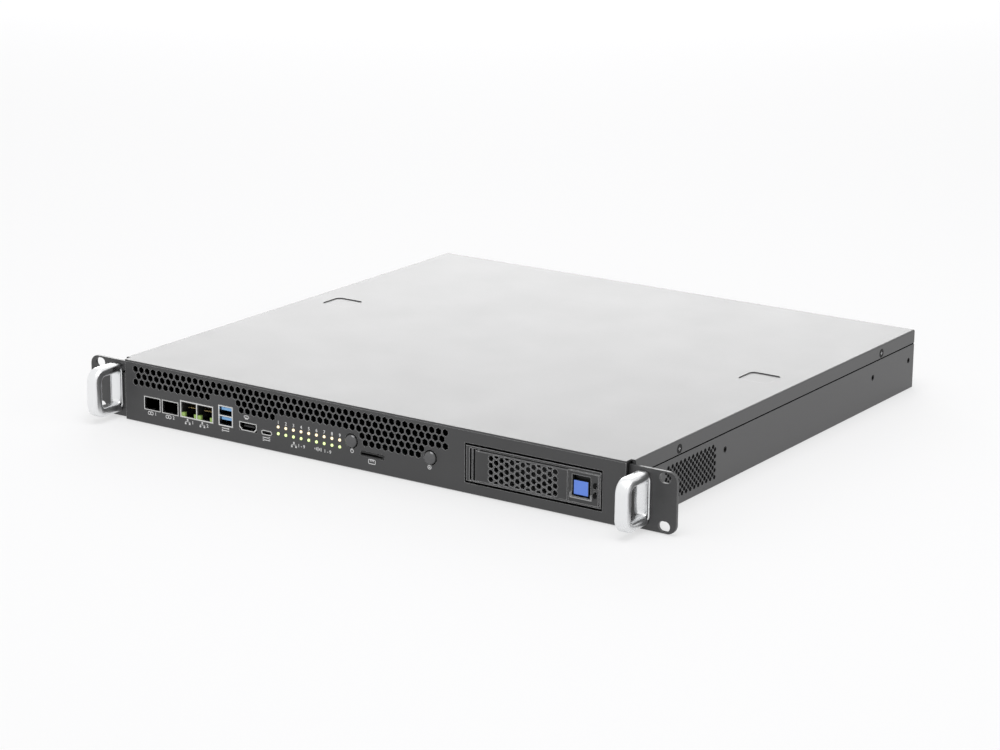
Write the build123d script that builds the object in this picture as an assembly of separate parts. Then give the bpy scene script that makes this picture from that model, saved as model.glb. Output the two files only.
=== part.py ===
from build123d import *
import os
from math import sqrt

# One-unit rack server with its ports, drive bay and air intake at the front.
# Millimetres. X = 0 is the middle, Y = 0 the plane of the rack posts behind the ears,
# Z = 0 the underside. The front faces -Y.

# Driving dimensions of the case
RACK_WIDTH = 482.6          # over both ears
BODY_WIDTH = 420.0
BODY_DEPTH = 400.0          # front panel face to rear panel face
BODY_HEIGHT = 43.6
SHEET = 1.2                 # steel of base, cover and rear panel
FIT = 0.1                   # between sheets that are screwed together
SEAT = 0.2                  # between a port and its cut-out
SLIDE = 0.4                 # between parts that slide or turn
COVER_FLANGE = 9.6          # side flange of the cover
SEAM_GAP = 1.1              # shadow line below that flange
PANEL_THICK = 1.5
PANEL_INSET = 3.7           # panel's end inside the side of the body
PANEL_HALF = BODY_WIDTH / 2 - PANEL_INSET
PANEL_LIP = 12.0            # depth of the panel's folded edge
PANEL_PROUD = 3.8           # panel face ahead of the ears' faces
THUMB_X = 180.0             # pressed thumb rests of the cover
THUMB_Y = 213.0
THUMB_SIZE = (24.0, 22.0)
THUMB_DEPTH = 0.6
THUMB_CORNER = 4.0

# Ears and handles
EAR_THICK = 2.0
EAR_HEIGHT = 40.8
EAR_MID = 20.5              # middle of the ear and of its slots
EAR_CORNER = 6.5
EAR_LEG = 22.0              # leg that is screwed inside the side wall
SLOT_SPACING_X = 465.1
SLOT_SPACING_Z = 31.75
SLOT_LENGTH = 8.5
SLOT_HEIGHT = 6.8
HANDLE_X = RACK_WIDTH / 2 - 24.3
HANDLE_WIDTH = 9.0
HANDLE_HEIGHT = 35.4
HANDLE_REACH = 28.4         # from the ear's face to the front of the grip
GRIP_DEPTH = 8.0
ARM_HEIGHT = 6.4
HANDLE_CORNER = 9.5
WINDOW_CORNER = 3.6
HANDLE_EDGE = 2.2
FOOT_WIDTH = 11.0           # plate at the root of the handle
FOOT_HEIGHT = 31.0
FOOT_THICK = 1.8
FOOT_CORNER = 4.0

# Countersunk screws: shank radius, head radius, head depth, length
CASE_SCREW = (1.3, 2.6, 1.0, 4.0)
HANDLE_SCREW = (1.9, 3.4, 1.5, 12.0)
HOLE_FIT = 0.05             # radial room of a screw in its hole
COVER_SCREW_Y = (53.8, 340.5)
COVER_SCREW_RISE = 3.5      # above the lower edge of the flange
EAR_SCREW_Z = (9.0, 24.0)
INSERT_Y = (113.6, 328.0, 385.7)
INSERT_Z = 22.0
INSERT_R = 2.2
INSERT_BORE_R = 1.3
INSERT_DEPTH = 3.0

# Honeycomb of the air intake: pointed cells on one pitch, in rows
CELL_PITCH = 5.41
CELL_FLATS = 4.45
CELL_X0 = 25.7 - PANEL_HALF  # cell number 0 of the top row
CELL_Z0 = 37.9
CELL_ROWS = (               # row number, then first and last cell of each run
    (0, ((-3, 46),)),
    (1, ((-2.5, 45.5),)),
    (2, ((-3, 9), (14, 46))),
    (3, ((14.5, 19.5), (33.5, 42.5))),
    (4, ((34, 42),)),
)

# Side vent beside the drive
VENT_Y0 = 37.8
VENT_Z0 = 6.3
VENT_COLUMNS = 12           # raised columns, each between two lower ones
VENT_ROWS = 5
VENT_PITCH = (5.2, 4.75)
VENT_HOLE_R = 1.8

# Front ports on the mainboard: centre X counted from the panel's left end, then width, height and depth
BOARD_TOP = 10.1
FIBRE_X = (24.5 - PANEL_HALF, 40.8 - PANEL_HALF)
FIBRE_SIZE = (14.8, 9.7, 47.0)
LAN_X = 64.7 - PANEL_HALF
LAN_SIZE = (29.4, 12.1, 21.0)
DATA_X = 90.5 - PANEL_HALF
DATA_SIZE = (12.6, 14.6, 17.0)
VIDEO_X = 110.1 - PANEL_HALF
VIDEO_SIZE = (15.0, 6.0, 11.0)
SMALL_X = 126.3 - PANEL_HALF
SMALL_SIZE = (9.0, 3.3, 8.0)
CARD_X = 215.4 - PANEL_HALF
CARD_SIZE = (19.4, 3.2, 16.0)
PORT_PROUD = 0.3            # port shells ahead of the panel
SHELL = 0.8                 # wall of a port shell
THIN_SHELL = 0.5
TONGUE_BACK = 1.6           # a tongue's tip behind the shell's mouth
DATA_TONGUE = 2.0
VIDEO_TONGUE = 1.2
SMALL_TONGUE = 0.7
LAN_WALL = 0.7              # walls of the moulded insert
LAN_LAMP = 2.6
LAN_MOUTH = 14.0            # depth of its mouths

# Status lamps
LAMP_COUNT = 9
LAMP_X0 = 136.3 - PANEL_HALF
LAMP_PITCH = 6.53
LAMP_Z = (17.7, 12.9)
LAMP_R = 1.1
LAMP_PROUD = 0.3
LAMP_HOLDER = 6.0

# Round push buttons
BUTTON_X = (198.3 - PANEL_HALF, 262.7 - PANEL_HALF)
BUTTON_Z = 18.8
BUTTON_R = 4.9
BUTTON_PROUD = 2.6
BUTTON_DOME = 7.0           # radius of the domed face
BUTTON_FLANGE_R = 6.0
BUTTON_FLANGE = 1.0
BUTTON_TRAVEL = 1.0
PLUNGER_R = 1.6
PLUNGER_LENGTH = 1.5
SWITCH_WIDTH = 8.0
SWITCH_DEPTH = 7.0

# Drive bay
BAY_WIDTH = 105.4
BAY_X1 = BODY_WIDTH / 2 - 20.8
BAY_X0 = BAY_X1 - BAY_WIDTH
BAY_Z0 = 7.0
BAY_Z1 = 34.25
BAY_DEPTH = 172.0           # from the panel face
CAGE_WALL = 1.0
CAGE_FOOT = 7.0
BACKPLANE_THICK = 1.6
BACKPLANE_PLUG = (42.0, 9.0, 4.6)
DRIVE_WIDTH = 101.6
DRIVE_LENGTH = 147.0
DRIVE_HEIGHT = 20.2
DRIVE_CORNER = 3.0
DRIVE_LID = 1.0
TRAY_WALL = 1.0
TRAY_RAIL = 20.0            # height of the side rails
TRAY_WINDOW = 46.0
BEZEL_GAP = 1.2             # room beside the bezel
BEZEL_ROOM = 1.6            # room above and below it
BEZEL_DEPTH = 13.8
BEZEL_RECESS = 4.3
BEZEL_STRIP = 2.6           # left strip of the bezel frame
BEZEL_EDGE = 1.4            # top strip
BEZEL_SILL = 0.8            # bottom strip
RIB_X = BAY_X0 + 6.6
RIB_WIDTH = 1.2
INTAKE_X = (BAY_X0 + 16.2, BAY_X0 + 75.2)
INTAKE_Z = (12.0, 28.6)

# Tray lever
LEVER_LEFT = BAY_X0 + 7.8
LEVER_RIGHT = BAY_X1 - 25.3
LEVER_GAP = 0.5
LEVER_PROUD = 1.5
LEVER_DEPTH = 4.0
LEVER_SKIN = 1.8
LEVER_RIM = 1.6
LEVER_EDGE = 0.8            # rounding of the long front edges
BARREL_R = 2.7
PIN_R = 1.0
PIN_FIT = 0.05
GRILLE_COLUMNS = 13
GRILLE_X0 = BAY_X0 + 21.4
GRILLE_PITCH = 4.12
GRILLE_FLATS = 3.7
GRILLE_HOLES = 4            # holes in an even column; odd columns have one less

# Blue release button with its pad
LATCH_X = BAY_X1 - 15.0
LATCH_Z = 20.2
LATCH_SIZE = (11.4, 9.4)
LATCH_GAP = 1.2
LATCH_ROOM = 2.4            # room above the button for a finger nail
LATCH_PROUD = 0.4
LATCH_LENGTH = 8.0
LATCH_SKIRT = 3.5
LATCH_TRAVEL = 1.5
LATCH_CORNER = 0.8
PAD_PROUD = 1.1
PAD_MARGIN = 1.1
LIP_WIDTH = 1.1
LIP_RISE = 2.4
LIP_PROUD = 0.7
PIPE_X = BAY_X1 - 4.6
PIPE_Z = (22.8, 17.9)
PIPE_SIZE = (1.8, 3.4)
PIPE_SUNK = 0.9             # end of the light pipe behind the pad

# Fans
FAN_SIZE = 40.0
FAN_DEPTH = 28.0
FAN_COUNT = 4
FAN_FIRST = 45.0            # first fan from the left wall
FAN_PITCH = 68.0
FAN_X = tuple(FAN_FIRST + i * FAN_PITCH - BODY_WIDTH / 2 for i in range(FAN_COUNT))
FAN_Y = 262.0               # front face of the fan row
FAN_BORE_R = 19.0
BLADE_GAP = 0.8
HUB_R = 9.6
BLADE_COUNT = 5
BLADE_LENGTH = 0.9          # share of the rotor's length
BLADE_THICK = 1.2
BLADE_PITCH = 38.0          # degrees between blade and shaft
MOTOR_THICK = 3.0
STRUT_WIDTH = 3.0
FAN_SHELF = 1.0             # sheet of the fan channel
FAN_SHELF_LIP = 6.0
FAN_SHELF_END = 4.0

# Power supply
PSU_WIDTH = 81.5
PSU_X1 = BODY_WIDTH / 2 - 4.5
PSU_X0 = PSU_X1 - PSU_WIDTH
PSU_LENGTH = 150.0
PSU_HEIGHT = 40.5
PSU_WALL = 0.8
PSU_RIM = 2.0               # the rear panel covers this much of its rear face
PSU_FAN_X = PSU_X0 + 21.0
PSU_FAN_SIZE = 38.0
PSU_FAN_DEPTH = 20.0
PSU_FAN_BORE_R = 17.6
GUARD_SLOTS = 7
GUARD_PITCH = 4.6
GUARD_SLOT = 3.2
INLET_X = PSU_X1 - 21.0
INLET_SIZE = (27.0, 19.8, 24.0)
INLET_WALL = 1.6
INLET_CAVITY = 17.0
INLET_CORNER = 4.0
INLET_PIN = (2.0, 4.0, 14.0)
INLET_PIN_PITCH = 7.0
INLET_PIN_RISE = 2.0

# Rear vents, one field behind each fan
REAR_SLOTS = 8
REAR_SLOT = (3.2, 30.0)
REAR_SLOT_PITCH = 5.2
REAR_FLANGE = 8.0

# Mainboard, plug-in modules and coolers
BOARD_THICK = 1.6
BOARD_X0 = 7.0 - BODY_WIDTH / 2
BOARD_X1 = BAY_X0 - 5.8
BOARD_Y0 = 0.5
BOARD_Y1 = 250.0
STANDOFF_FLATS = 5.5
STANDOFF_INSET = 9.0
MODULE_COUNT = 9
MODULE_X0 = 30.0 - BODY_WIDTH / 2
MODULE_PITCH = 27.0
MODULE_Y0 = 150.0
MODULE_SIZE = (1.2, 69.6, 28.0)
MODULE_SEAT = 2.0           # lower edge of a card above the board
SOCKET_WIDTH = 6.0
SOCKET_HEIGHT = 5.0
SOCKET_END = 3.0
SINK_LENGTH = 52.0
SINK_HEIGHT = 20.0
SINK_BASE = 1.6
FIN_COUNT = 4
FIN_REACH = 6.0
FIN_THICK = 1.0
CHIP_X = -40.0
CHIP_Y = 85.0
CHIP_SIZE = (30.0, 30.0, 2.4)
COOLER_SIZE = (44.0, 44.0, 18.0)
COOLER_BASE = 3.0
COOLER_FINS = 9

# Places worked out from the sizes above
HALF = BODY_WIDTH / 2
FACE_Y = -(EAR_THICK + PANEL_PROUD)
PANEL_BACK = FACE_Y + PANEL_THICK
REAR_Y = FACE_Y + BODY_DEPTH
COVER_UNDER = BODY_HEIGHT - SHEET
FLANGE_Z = BODY_HEIGHT - COVER_FLANGE
WALL_STEP = FLANGE_Z - SEAM_GAP
INNER_HALF = HALF - 2 * SHEET - FIT
EAR_Z0 = EAR_MID - EAR_HEIGHT / 2
HANDLE_Z = COVER_UNDER / 2
EAR_INNER = PANEL_HALF + FIT
LEG_OUTER = HALF - SHEET - FIT
BOARD_UNDER = BOARD_TOP - BOARD_THICK
PORT_Y = FACE_Y - PORT_PROUD
BEZEL_X0 = BAY_X0 + BEZEL_GAP
BEZEL_X1 = BAY_X1 - BEZEL_GAP
BEZEL_Z0 = BAY_Z0 + BEZEL_ROOM
BEZEL_Z1 = BAY_Z1 - BEZEL_ROOM
BEZEL_BACK = FACE_Y + BEZEL_DEPTH
RECESS_Z0 = BEZEL_Z0 + BEZEL_SILL
RECESS_Z1 = BEZEL_Z1 - BEZEL_EDGE
RECESS_X1 = LEVER_RIGHT + LEVER_GAP
RECESS_Y = FACE_Y + BEZEL_RECESS
LEVER_Z0 = RECESS_Z0 + LEVER_GAP
LEVER_Z1 = RECESS_Z1 - LEVER_GAP
LEVER_Y = FACE_Y - LEVER_PROUD
HINGE_X = LEVER_LEFT + BARREL_R
HINGE_Y = LEVER_Y + BARREL_R
TRAY_Z0 = BAY_Z0 + SLIDE
TRAY_X0 = BAY_X0 + SLIDE
TRAY_X1 = BAY_X1 - SLIDE
DRIVE_X = (BAY_X0 + BAY_X1) / 2
DRIVE_Z0 = TRAY_Z0 + TRAY_WALL
TRAY_END = BEZEL_BACK + DRIVE_LENGTH
CAGE_END = FACE_Y + BAY_DEPTH
LATCH_Y = FACE_Y - PAD_PROUD - LATCH_PROUD
FAN_Z = SHEET + FAN_SHELF + FAN_SIZE / 2
MOTOR_Y = FAN_Y + FAN_DEPTH - MOTOR_THICK
PSU_Y1 = REAR_Y - SHEET
PSU_Y0 = PSU_Y1 - PSU_LENGTH
PSU_TOP = SHEET + PSU_HEIGHT
PSU_MID = SHEET + PSU_HEIGHT / 2
PSU_FAN_PLACE = (PSU_FAN_X, PSU_Y1 - PSU_WALL - PSU_FAN_DEPTH, PSU_MID)
FACING_X = Rot(0, 90, 0)
FACING_Y = Rot(-90, 0, 0)


def block(x0, x1, y0, y1, z0, z1):
    """A box between two corners."""
    return Pos((x0 + x1) / 2, (y0 + y1) / 2, (z0 + z1) / 2) * Box(x1 - x0, y1 - y0, z1 - z0)


def along_y(sketch, y0, y1):
    """A front-view outline (X, Z) as a prism from y0 back to y1."""
    plane = Plane(origin=(0, y1, 0), x_dir=(1, 0, 0), z_dir=(0, -1, 0))
    return extrude(plane * sketch, amount=y1 - y0)


def along_x(sketch, x0, x1):
    """A side-view outline (Y, Z) as a prism from x0 to x1."""
    plane = Plane(origin=(x0, 0, 0), x_dir=(0, 1, 0), z_dir=(1, 0, 0))
    return extrude(plane * sketch, amount=x1 - x0)


def outline(points):
    """A closed face through the points."""
    return make_face(Polyline(*points, close=True))


def both_sides(points):
    """Points of the right half and their mirror images, as one loop."""
    return points + [(-x, z) for x, z in reversed(points)]


def hexagon(across_flats, turn=0):
    """A hexagon with corners left and right, or turned by 90 to point upwards."""
    return RegularPolygon(across_flats / sqrt(3), 6, rotation=turn)


def left_and_right(pieces):
    """The pieces and their mirror images."""
    return pieces + [mirror(piece, Plane.YZ) for piece in pieces]


def screw(place, turn, size, grow=0.0):
    """A countersunk screw with its head at place; grow makes its hole."""
    shank, head, head_depth, length = size
    body = Pos(0, 0, -length / 2) * Cylinder(shank + grow, length)
    cone = Pos(0, 0, -head_depth / 2) * Cone(shank + grow, head + grow, head_depth)
    return Pos(*place) * turn * (body + cone)


def cover_screws(grow=0.0):
    """Two screws in each side flange of the cover."""
    z = FLANGE_Z + COVER_SCREW_RISE
    return left_and_right([screw((HALF, y, z), FACING_X, CASE_SCREW, grow) for y in COVER_SCREW_Y])


def ear_screws(grow=0.0):
    """Two screws through each side wall into the leg of the ear."""
    y = EAR_LEG / 2
    return left_and_right([screw((HALF, y, z), FACING_X, CASE_SCREW, grow) for z in EAR_SCREW_Z])


def handle_screws(grow=0.0):
    """Two screws from behind each ear into the arms of its handle."""
    reach = (HANDLE_HEIGHT - ARM_HEIGHT) / 2
    heights = (HANDLE_Z - reach, HANDLE_Z + reach)
    return left_and_right([screw((HANDLE_X, 0, z), FACING_Y, HANDLE_SCREW, grow) for z in heights])


def side_inserts(grow=0.0):
    """Threaded inserts for slide rails in both side walls; grow makes their holes."""
    ring = Circle(INSERT_R + grow)
    if not grow:
        ring -= Circle(INSERT_BORE_R)
    return left_and_right([
        along_x(Pos(y, INSERT_Z) * ring, HALF - INSERT_DEPTH, HALF) for y in INSERT_Y
    ])


def vent_holes():
    """Staggered holes of the side vent, through the right wall."""
    step_y, step_z = VENT_PITCH
    hole = RegularPolygon(VENT_HOLE_R, 6)
    places = [
        (VENT_Y0 + (i + shift) * step_y, VENT_Z0 + (j + shift) * step_z)
        for shift, columns in ((0, VENT_COLUMNS + 1), (0.5, VENT_COLUMNS))
        for i in range(columns)
        for j in range(VENT_ROWS)
    ]
    return [along_x(Pos(y, z) * hole, HALF - 2 * SHEET, HALF + SHEET) for y, z in places]


def chassis_base():
    """Folded tray whose walls step inwards behind the cover's flange."""
    step = SHEET + FIT
    wall = both_sides([
        (HALF, 0),
        (HALF, WALL_STEP),
        (HALF - step, WALL_STEP),
        (HALF - step, COVER_UNDER - FIT),
        (INNER_HALF, COVER_UNDER - FIT),
        (INNER_HALF, WALL_STEP - SHEET),
        (HALF - SHEET, WALL_STEP - SHEET),
        (HALF - SHEET, SHEET),
    ])
    tray = along_y(outline(wall), 0, REAR_Y)
    tray += block(-PANEL_HALF, PANEL_HALF, PANEL_BACK, 0, 0, SHEET)
    tray -= vent_holes()
    tray -= cover_screws(HOLE_FIT)
    tray -= ear_screws(HOLE_FIT)
    return tray - side_inserts(HOLE_FIT)


def thumb_rest(x, top, thick, grow):
    """A rounded pad of the cover's thumb rest, thick below the height top."""
    width, length = THUMB_SIZE
    field = RectangleRounded(width + 2 * grow, length + 2 * grow, THUMB_CORNER)
    return Pos(x, THUMB_Y, top - thick) * extrude(field, amount=thick)


def top_cover():
    """Flat lid with side flanges and two pressed thumb rests."""
    lid = along_y(outline(both_sides([(HALF, FLANGE_Z), (HALF, BODY_HEIGHT)])), FIT, REAR_Y)
    lid = fillet(lid.edges().filter_by(Axis.Y).group_by(Axis.Z)[-1], SHEET)
    lid -= block(-HALF + SHEET, HALF - SHEET, 0, REAR_Y, FLANGE_Z, COVER_UNDER)
    lid += block(-PANEL_HALF, PANEL_HALF, FACE_Y, FIT, COVER_UNDER, BODY_HEIGHT)
    for x in (-THUMB_X, THUMB_X):
        lid += thumb_rest(x, COVER_UNDER, THUMB_DEPTH, THUMB_DEPTH)
        lid -= thumb_rest(x, BODY_HEIGHT, THUMB_DEPTH, 0)
    return lid - cover_screws(HOLE_FIT)


def intake_cells():
    """Centres of the honeycomb cells."""
    row_step = CELL_PITCH * sqrt(3) / 2
    return [
        (CELL_X0 + (first + k) * CELL_PITCH, CELL_Z0 - row * row_step)
        for row, runs in CELL_ROWS
        for first, last in runs
        for k in range(int(last - first) + 1)
    ]


def port_hole(x, size, gap=SEAT):
    """Cut-out of the panel for a port that stands on the mainboard."""
    width, height, _ = size
    return block(x - width / 2 - gap, x + width / 2 + gap, FACE_Y, PANEL_BACK,
                 BOARD_TOP - gap, BOARD_TOP + height + gap)


def lamp_places(row):
    """Centres of the lamps in one row."""
    return [(LAMP_X0 + i * LAMP_PITCH, LAMP_Z[row]) for i in range(LAMP_COUNT)]


def front_panel():
    """Shallow folded pan with the air intake, the port cut-outs and the bay."""
    top = COVER_UNDER - FIT
    pan = block(-PANEL_HALF, PANEL_HALF, FACE_Y, PANEL_BACK, 0, top)
    rim = block(-PANEL_HALF, PANEL_HALF, PANEL_BACK, FACE_Y + PANEL_LIP, SHEET, top)
    inner = PANEL_HALF - PANEL_THICK
    rim -= block(-inner, inner, PANEL_BACK, FACE_Y + PANEL_LIP, SHEET, top - PANEL_THICK)
    pan += rim
    pointed = hexagon(CELL_FLATS, 30)
    pan -= [along_y(Pos(x, z) * pointed, FACE_Y, PANEL_BACK) for x, z in intake_cells()]
    ports = [(x, FIBRE_SIZE) for x in FIBRE_X] + [
        (LAN_X, LAN_SIZE), (DATA_X, DATA_SIZE), (VIDEO_X, VIDEO_SIZE),
        (SMALL_X, SMALL_SIZE), (CARD_X, CARD_SIZE),
    ]
    pan -= [port_hole(x, size) for x, size in ports]
    lamp = RegularPolygon(LAMP_R, 6)
    pan -= [along_y(Pos(x, z) * lamp, FACE_Y, PANEL_BACK) for row in (0, 1) for x, z in lamp_places(row)]
    button = Circle(BUTTON_R + SLIDE)
    pan -= [along_y(Pos(x, BUTTON_Z) * button, FACE_Y, PANEL_BACK) for x in BUTTON_X]
    return pan - block(BAY_X0, BAY_X1, FACE_Y, PANEL_BACK, BAY_Z0, BAY_Z1)


def rear_panel():
    """Rear wall with four slotted vents and the opening of the power supply."""
    top = COVER_UNDER - FIT
    side = INNER_HALF - FIT
    wall = block(-side, side, REAR_Y - SHEET, REAR_Y, SHEET, top)
    wall += block(-side, PSU_X0 - FIT, REAR_Y - REAR_FLANGE, REAR_Y, top - SHEET, top)
    width, height = REAR_SLOT
    first = -(REAR_SLOTS - 1) / 2
    places = [x + (first + i) * REAR_SLOT_PITCH for x in FAN_X for i in range(REAR_SLOTS)]
    wall -= [
        block(x - width / 2, x + width / 2, REAR_Y - SHEET, REAR_Y, FAN_Z - height / 2, FAN_Z + height / 2)
        for x in places
    ]
    return wall - block(PSU_X0 + PSU_RIM, PSU_X1 - PSU_RIM, REAR_Y - SHEET, REAR_Y,
                        SHEET + PSU_RIM, PSU_TOP - PSU_RIM)


def ear():
    """Right ear: angle of plate with rounded corners and two rack slots."""
    plate = block(EAR_INNER, RACK_WIDTH / 2, -EAR_THICK, 0, EAR_Z0, EAR_Z0 + EAR_HEIGHT)
    plate = fillet(plate.edges().filter_by(Axis.Y).group_by(Axis.X)[-1], EAR_CORNER)
    plate += block(LEG_OUTER - EAR_THICK, LEG_OUTER, 0, EAR_LEG, SHEET + FIT, WALL_STEP - SHEET - FIT)
    slot = SlotOverall(SLOT_LENGTH, SLOT_HEIGHT)
    for z in (-SLOT_SPACING_Z / 2, SLOT_SPACING_Z / 2):
        plate -= along_y(Pos(SLOT_SPACING_X / 2, EAR_MID + z) * slot, -EAR_THICK, 0)
    return plate - ear_screws(HOLE_FIT) - handle_screws(HOLE_FIT)


def handle():
    """Right handle: a cast loop with a rounded grip on a foot plate."""
    back = -EAR_THICK
    front = back - HANDLE_REACH
    loop = Pos((front + back) / 2, HANDLE_Z) * Rectangle(HANDLE_REACH, HANDLE_HEIGHT)
    loop = fillet(loop.vertices().group_by(Axis.X)[0], HANDLE_CORNER)
    window_depth = HANDLE_REACH - GRIP_DEPTH - FOOT_THICK
    window = Pos(front + GRIP_DEPTH + window_depth / 2, HANDLE_Z) * RectangleRounded(
        window_depth, HANDLE_HEIGHT - 2 * ARM_HEIGHT, WINDOW_CORNER)
    grip = along_x(loop, HANDLE_X - HANDLE_WIDTH / 2, HANDLE_X + HANDLE_WIDTH / 2)
    free = [edge for edge in grip.edges() if edge.center().Y < back - FIT]
    rounded = [edge for edge in free if edge.geom_type != GeomType.LINE]
    straight = [edge for edge in free if edge.geom_type == GeomType.LINE and abs((edge % 0.5).X) < FIT]
    grip = fillet(rounded + straight, HANDLE_EDGE)
    grip -= along_x(window, HANDLE_X - HANDLE_WIDTH, HANDLE_X + HANDLE_WIDTH)
    foot = Pos(HANDLE_X, HANDLE_Z) * RectangleRounded(FOOT_WIDTH, FOOT_HEIGHT, FOOT_CORNER)
    grip += along_y(foot, back - FOOT_THICK, back)
    return grip - handle_screws(HOLE_FIT)


def mainboard():
    """Printed board that carries the ports, the modules and the main chip."""
    return block(BOARD_X0, BOARD_X1, BOARD_Y0, BOARD_Y1, BOARD_UNDER, BOARD_TOP)


def board_standoffs():
    """Hexagonal standoffs in rows under the mainboard."""
    middle = (BOARD_X0 + BOARD_X1) / 2
    columns = (BOARD_X0 + STANDOFF_INSET, middle, BOARD_X1 - STANDOFF_INSET)
    rows = (BOARD_Y0 + STANDOFF_INSET, (BOARD_Y0 + BOARD_Y1) / 2, BOARD_Y1 - STANDOFF_INSET)
    post = extrude(hexagon(STANDOFF_FLATS), amount=BOARD_UNDER - SHEET)
    return [Pos(x, y, SHEET) * post for x in columns for y in rows]


def port_box(x, size, inset=0.0, front=0.0, back=0.0):
    """The space of a port, drawn in by inset at its sides and shortened at its ends."""
    width, height, depth = size
    return block(x - width / 2 + inset, x + width / 2 - inset, PORT_Y + front, PORT_Y + depth - back,
                 BOARD_TOP + inset, BOARD_TOP + height - inset)


def port_tube(x, size, wall):
    """A port shell that is open at the front."""
    return port_box(x, size) - port_box(x, size, wall, 0, wall)


def lan_halves():
    """Middle X and width of the two mouths of the network jack."""
    width = (LAN_SIZE[0] - 3 * SHELL) / 2
    return [(LAN_X + side * (width + SHELL) / 2, width) for side in (-1, 1)]


def lan_jack_shell():
    """Plated shield with a web between two mouths."""
    shell = port_box(LAN_X, LAN_SIZE)
    height = LAN_SIZE[1]
    for x, width in lan_halves():
        shell -= block(x - width / 2, x + width / 2, PORT_Y, PORT_Y + LAN_SIZE[2] - SHELL,
                       BOARD_TOP + SHELL, BOARD_TOP + height - SHELL)
    return shell


def lan_jack_insert():
    """Two moulded sockets inside the shield, with room for the corner lamps."""
    low = BOARD_TOP + SHELL
    high = BOARD_TOP + LAN_SIZE[1] - SHELL
    mouth = PORT_Y + LAN_MOUTH
    inserts = []
    for x, width in lan_halves():
        left = x - width / 2
        right = x + width / 2
        body = block(left, right, PORT_Y + LAN_WALL, PORT_Y + LAN_SIZE[2] - SHELL, low, high)
        body -= block(left + LAN_WALL, right - LAN_WALL, PORT_Y, mouth, low + LAN_LAMP, high - LAN_WALL)
        body -= block(left + LAN_LAMP, right - LAN_LAMP, PORT_Y, mouth, low, low + LAN_LAMP)
        body -= block(left, right, PORT_Y, PORT_Y + LAN_LAMP, low, low + LAN_LAMP)
        inserts.append(body)
    return inserts


def lan_jack_lamps():
    """Small lamp windows in the lower corners of the network jack."""
    low = BOARD_TOP + SHELL
    places = [x + side * (width - LAN_LAMP) / 2 for x, width in lan_halves() for side in (-1, 1)]
    return [
        block(x - LAN_LAMP / 2, x + LAN_LAMP / 2, PORT_Y + LAN_WALL, PORT_Y + LAN_LAMP, low, low + LAN_LAMP)
        for x in places
    ]


def data_floors():
    """Lower and upper height of the two stacked mouths of the data port."""
    height = (DATA_SIZE[1] - 3 * SHELL) / 2
    low = BOARD_TOP + SHELL
    return [(low, low + height), (low + height + SHELL, low + 2 * height + SHELL)]


def data_port_shell():
    """Plated shell with two stacked mouths."""
    shell = port_box(DATA_X, DATA_SIZE)
    width = DATA_SIZE[0] / 2 - SHELL
    for low, high in data_floors():
        shell -= block(DATA_X - width, DATA_X + width, PORT_Y, PORT_Y + DATA_SIZE[2] - SHELL, low, high)
    return shell


def data_port_tongues():
    """Blue tongue under the roof of each mouth, on a moulded back."""
    width = DATA_SIZE[0] / 2 - SHELL
    back = PORT_Y + DATA_SIZE[2] - SHELL
    tongues = []
    for low, high in data_floors():
        tongue = block(DATA_X - width, DATA_X + width, back - SHELL, back, low, high)
        tongue += block(DATA_X - width + SHELL, DATA_X + width - SHELL, PORT_Y + TONGUE_BACK, back,
                        high - SHELL - DATA_TONGUE, high - SHELL)
        tongues.append(tongue)
    return tongues


def tapered_mouth(x, size, inset, front, back):
    """Body of the video port, whose lower corners are cut off."""
    width, height, depth = size
    half = width / 2 - inset
    low = BOARD_TOP + inset
    high = BOARD_TOP + height - inset
    bevel = height / 3
    face = outline([
        (x - half, high), (x + half, high), (x + half, low + bevel), (x + half - bevel, low),
        (x - half + bevel, low), (x - half, low + bevel),
    ])
    return along_y(face, PORT_Y + front, PORT_Y + depth - back)


def video_port_shell():
    """Plated shell with bevelled lower corners."""
    solid = tapered_mouth(VIDEO_X, VIDEO_SIZE, 0, 0, 0)
    return solid - tapered_mouth(VIDEO_X, VIDEO_SIZE, THIN_SHELL, 0, THIN_SHELL)


def small_port_shell():
    """Oval plated shell."""
    width, height, depth = SMALL_SIZE
    middle = BOARD_TOP + height / 2
    outer = Pos(SMALL_X, middle) * SlotOverall(width, height)
    inner = Pos(SMALL_X, middle) * SlotOverall(width - 2 * THIN_SHELL, height - 2 * THIN_SHELL)
    return along_y(outer, PORT_Y, PORT_Y + depth) - along_y(inner, PORT_Y, PORT_Y + depth - THIN_SHELL)


def port_tongue(x, size, thick):
    """Flat contact tongue from the back of a port towards its mouth."""
    width, height, depth = size
    reach = width / 2 - height / 2
    middle = BOARD_TOP + height / 2
    return block(x - reach, x + reach, PORT_Y + TONGUE_BACK, PORT_Y + depth - THIN_SHELL,
                 middle - thick / 2, middle + thick / 2)


def card_socket():
    """Push-in card reader with a narrow mouth."""
    body = port_tube(CARD_X, CARD_SIZE, SHELL)
    width, height, depth = CARD_SIZE
    step = width / 4
    body += block(CARD_X + step, CARD_X + width / 2 - SHELL, PORT_Y + SHELL, PORT_Y + depth,
                  BOARD_TOP + height - 2 * SHELL, BOARD_TOP + height - SHELL)
    return body


def lamp_lenses(row):
    """One row of lamp lenses, through the panel."""
    lens = RegularPolygon(LAMP_R - HOLE_FIT, 6)
    return [along_y(Pos(x, z) * lens, FACE_Y - LAMP_PROUD, PANEL_BACK) for x, z in lamp_places(row)]


def lamp_holder():
    """Black carrier of the lamps, standing on the board behind the panel."""
    last = LAMP_X0 + (LAMP_COUNT - 1) * LAMP_PITCH
    margin = 2 * LAMP_R
    return block(LAMP_X0 - margin, last + margin, PANEL_BACK, PANEL_BACK + LAMP_HOLDER,
                 BOARD_TOP, LAMP_Z[0] + margin)


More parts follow.
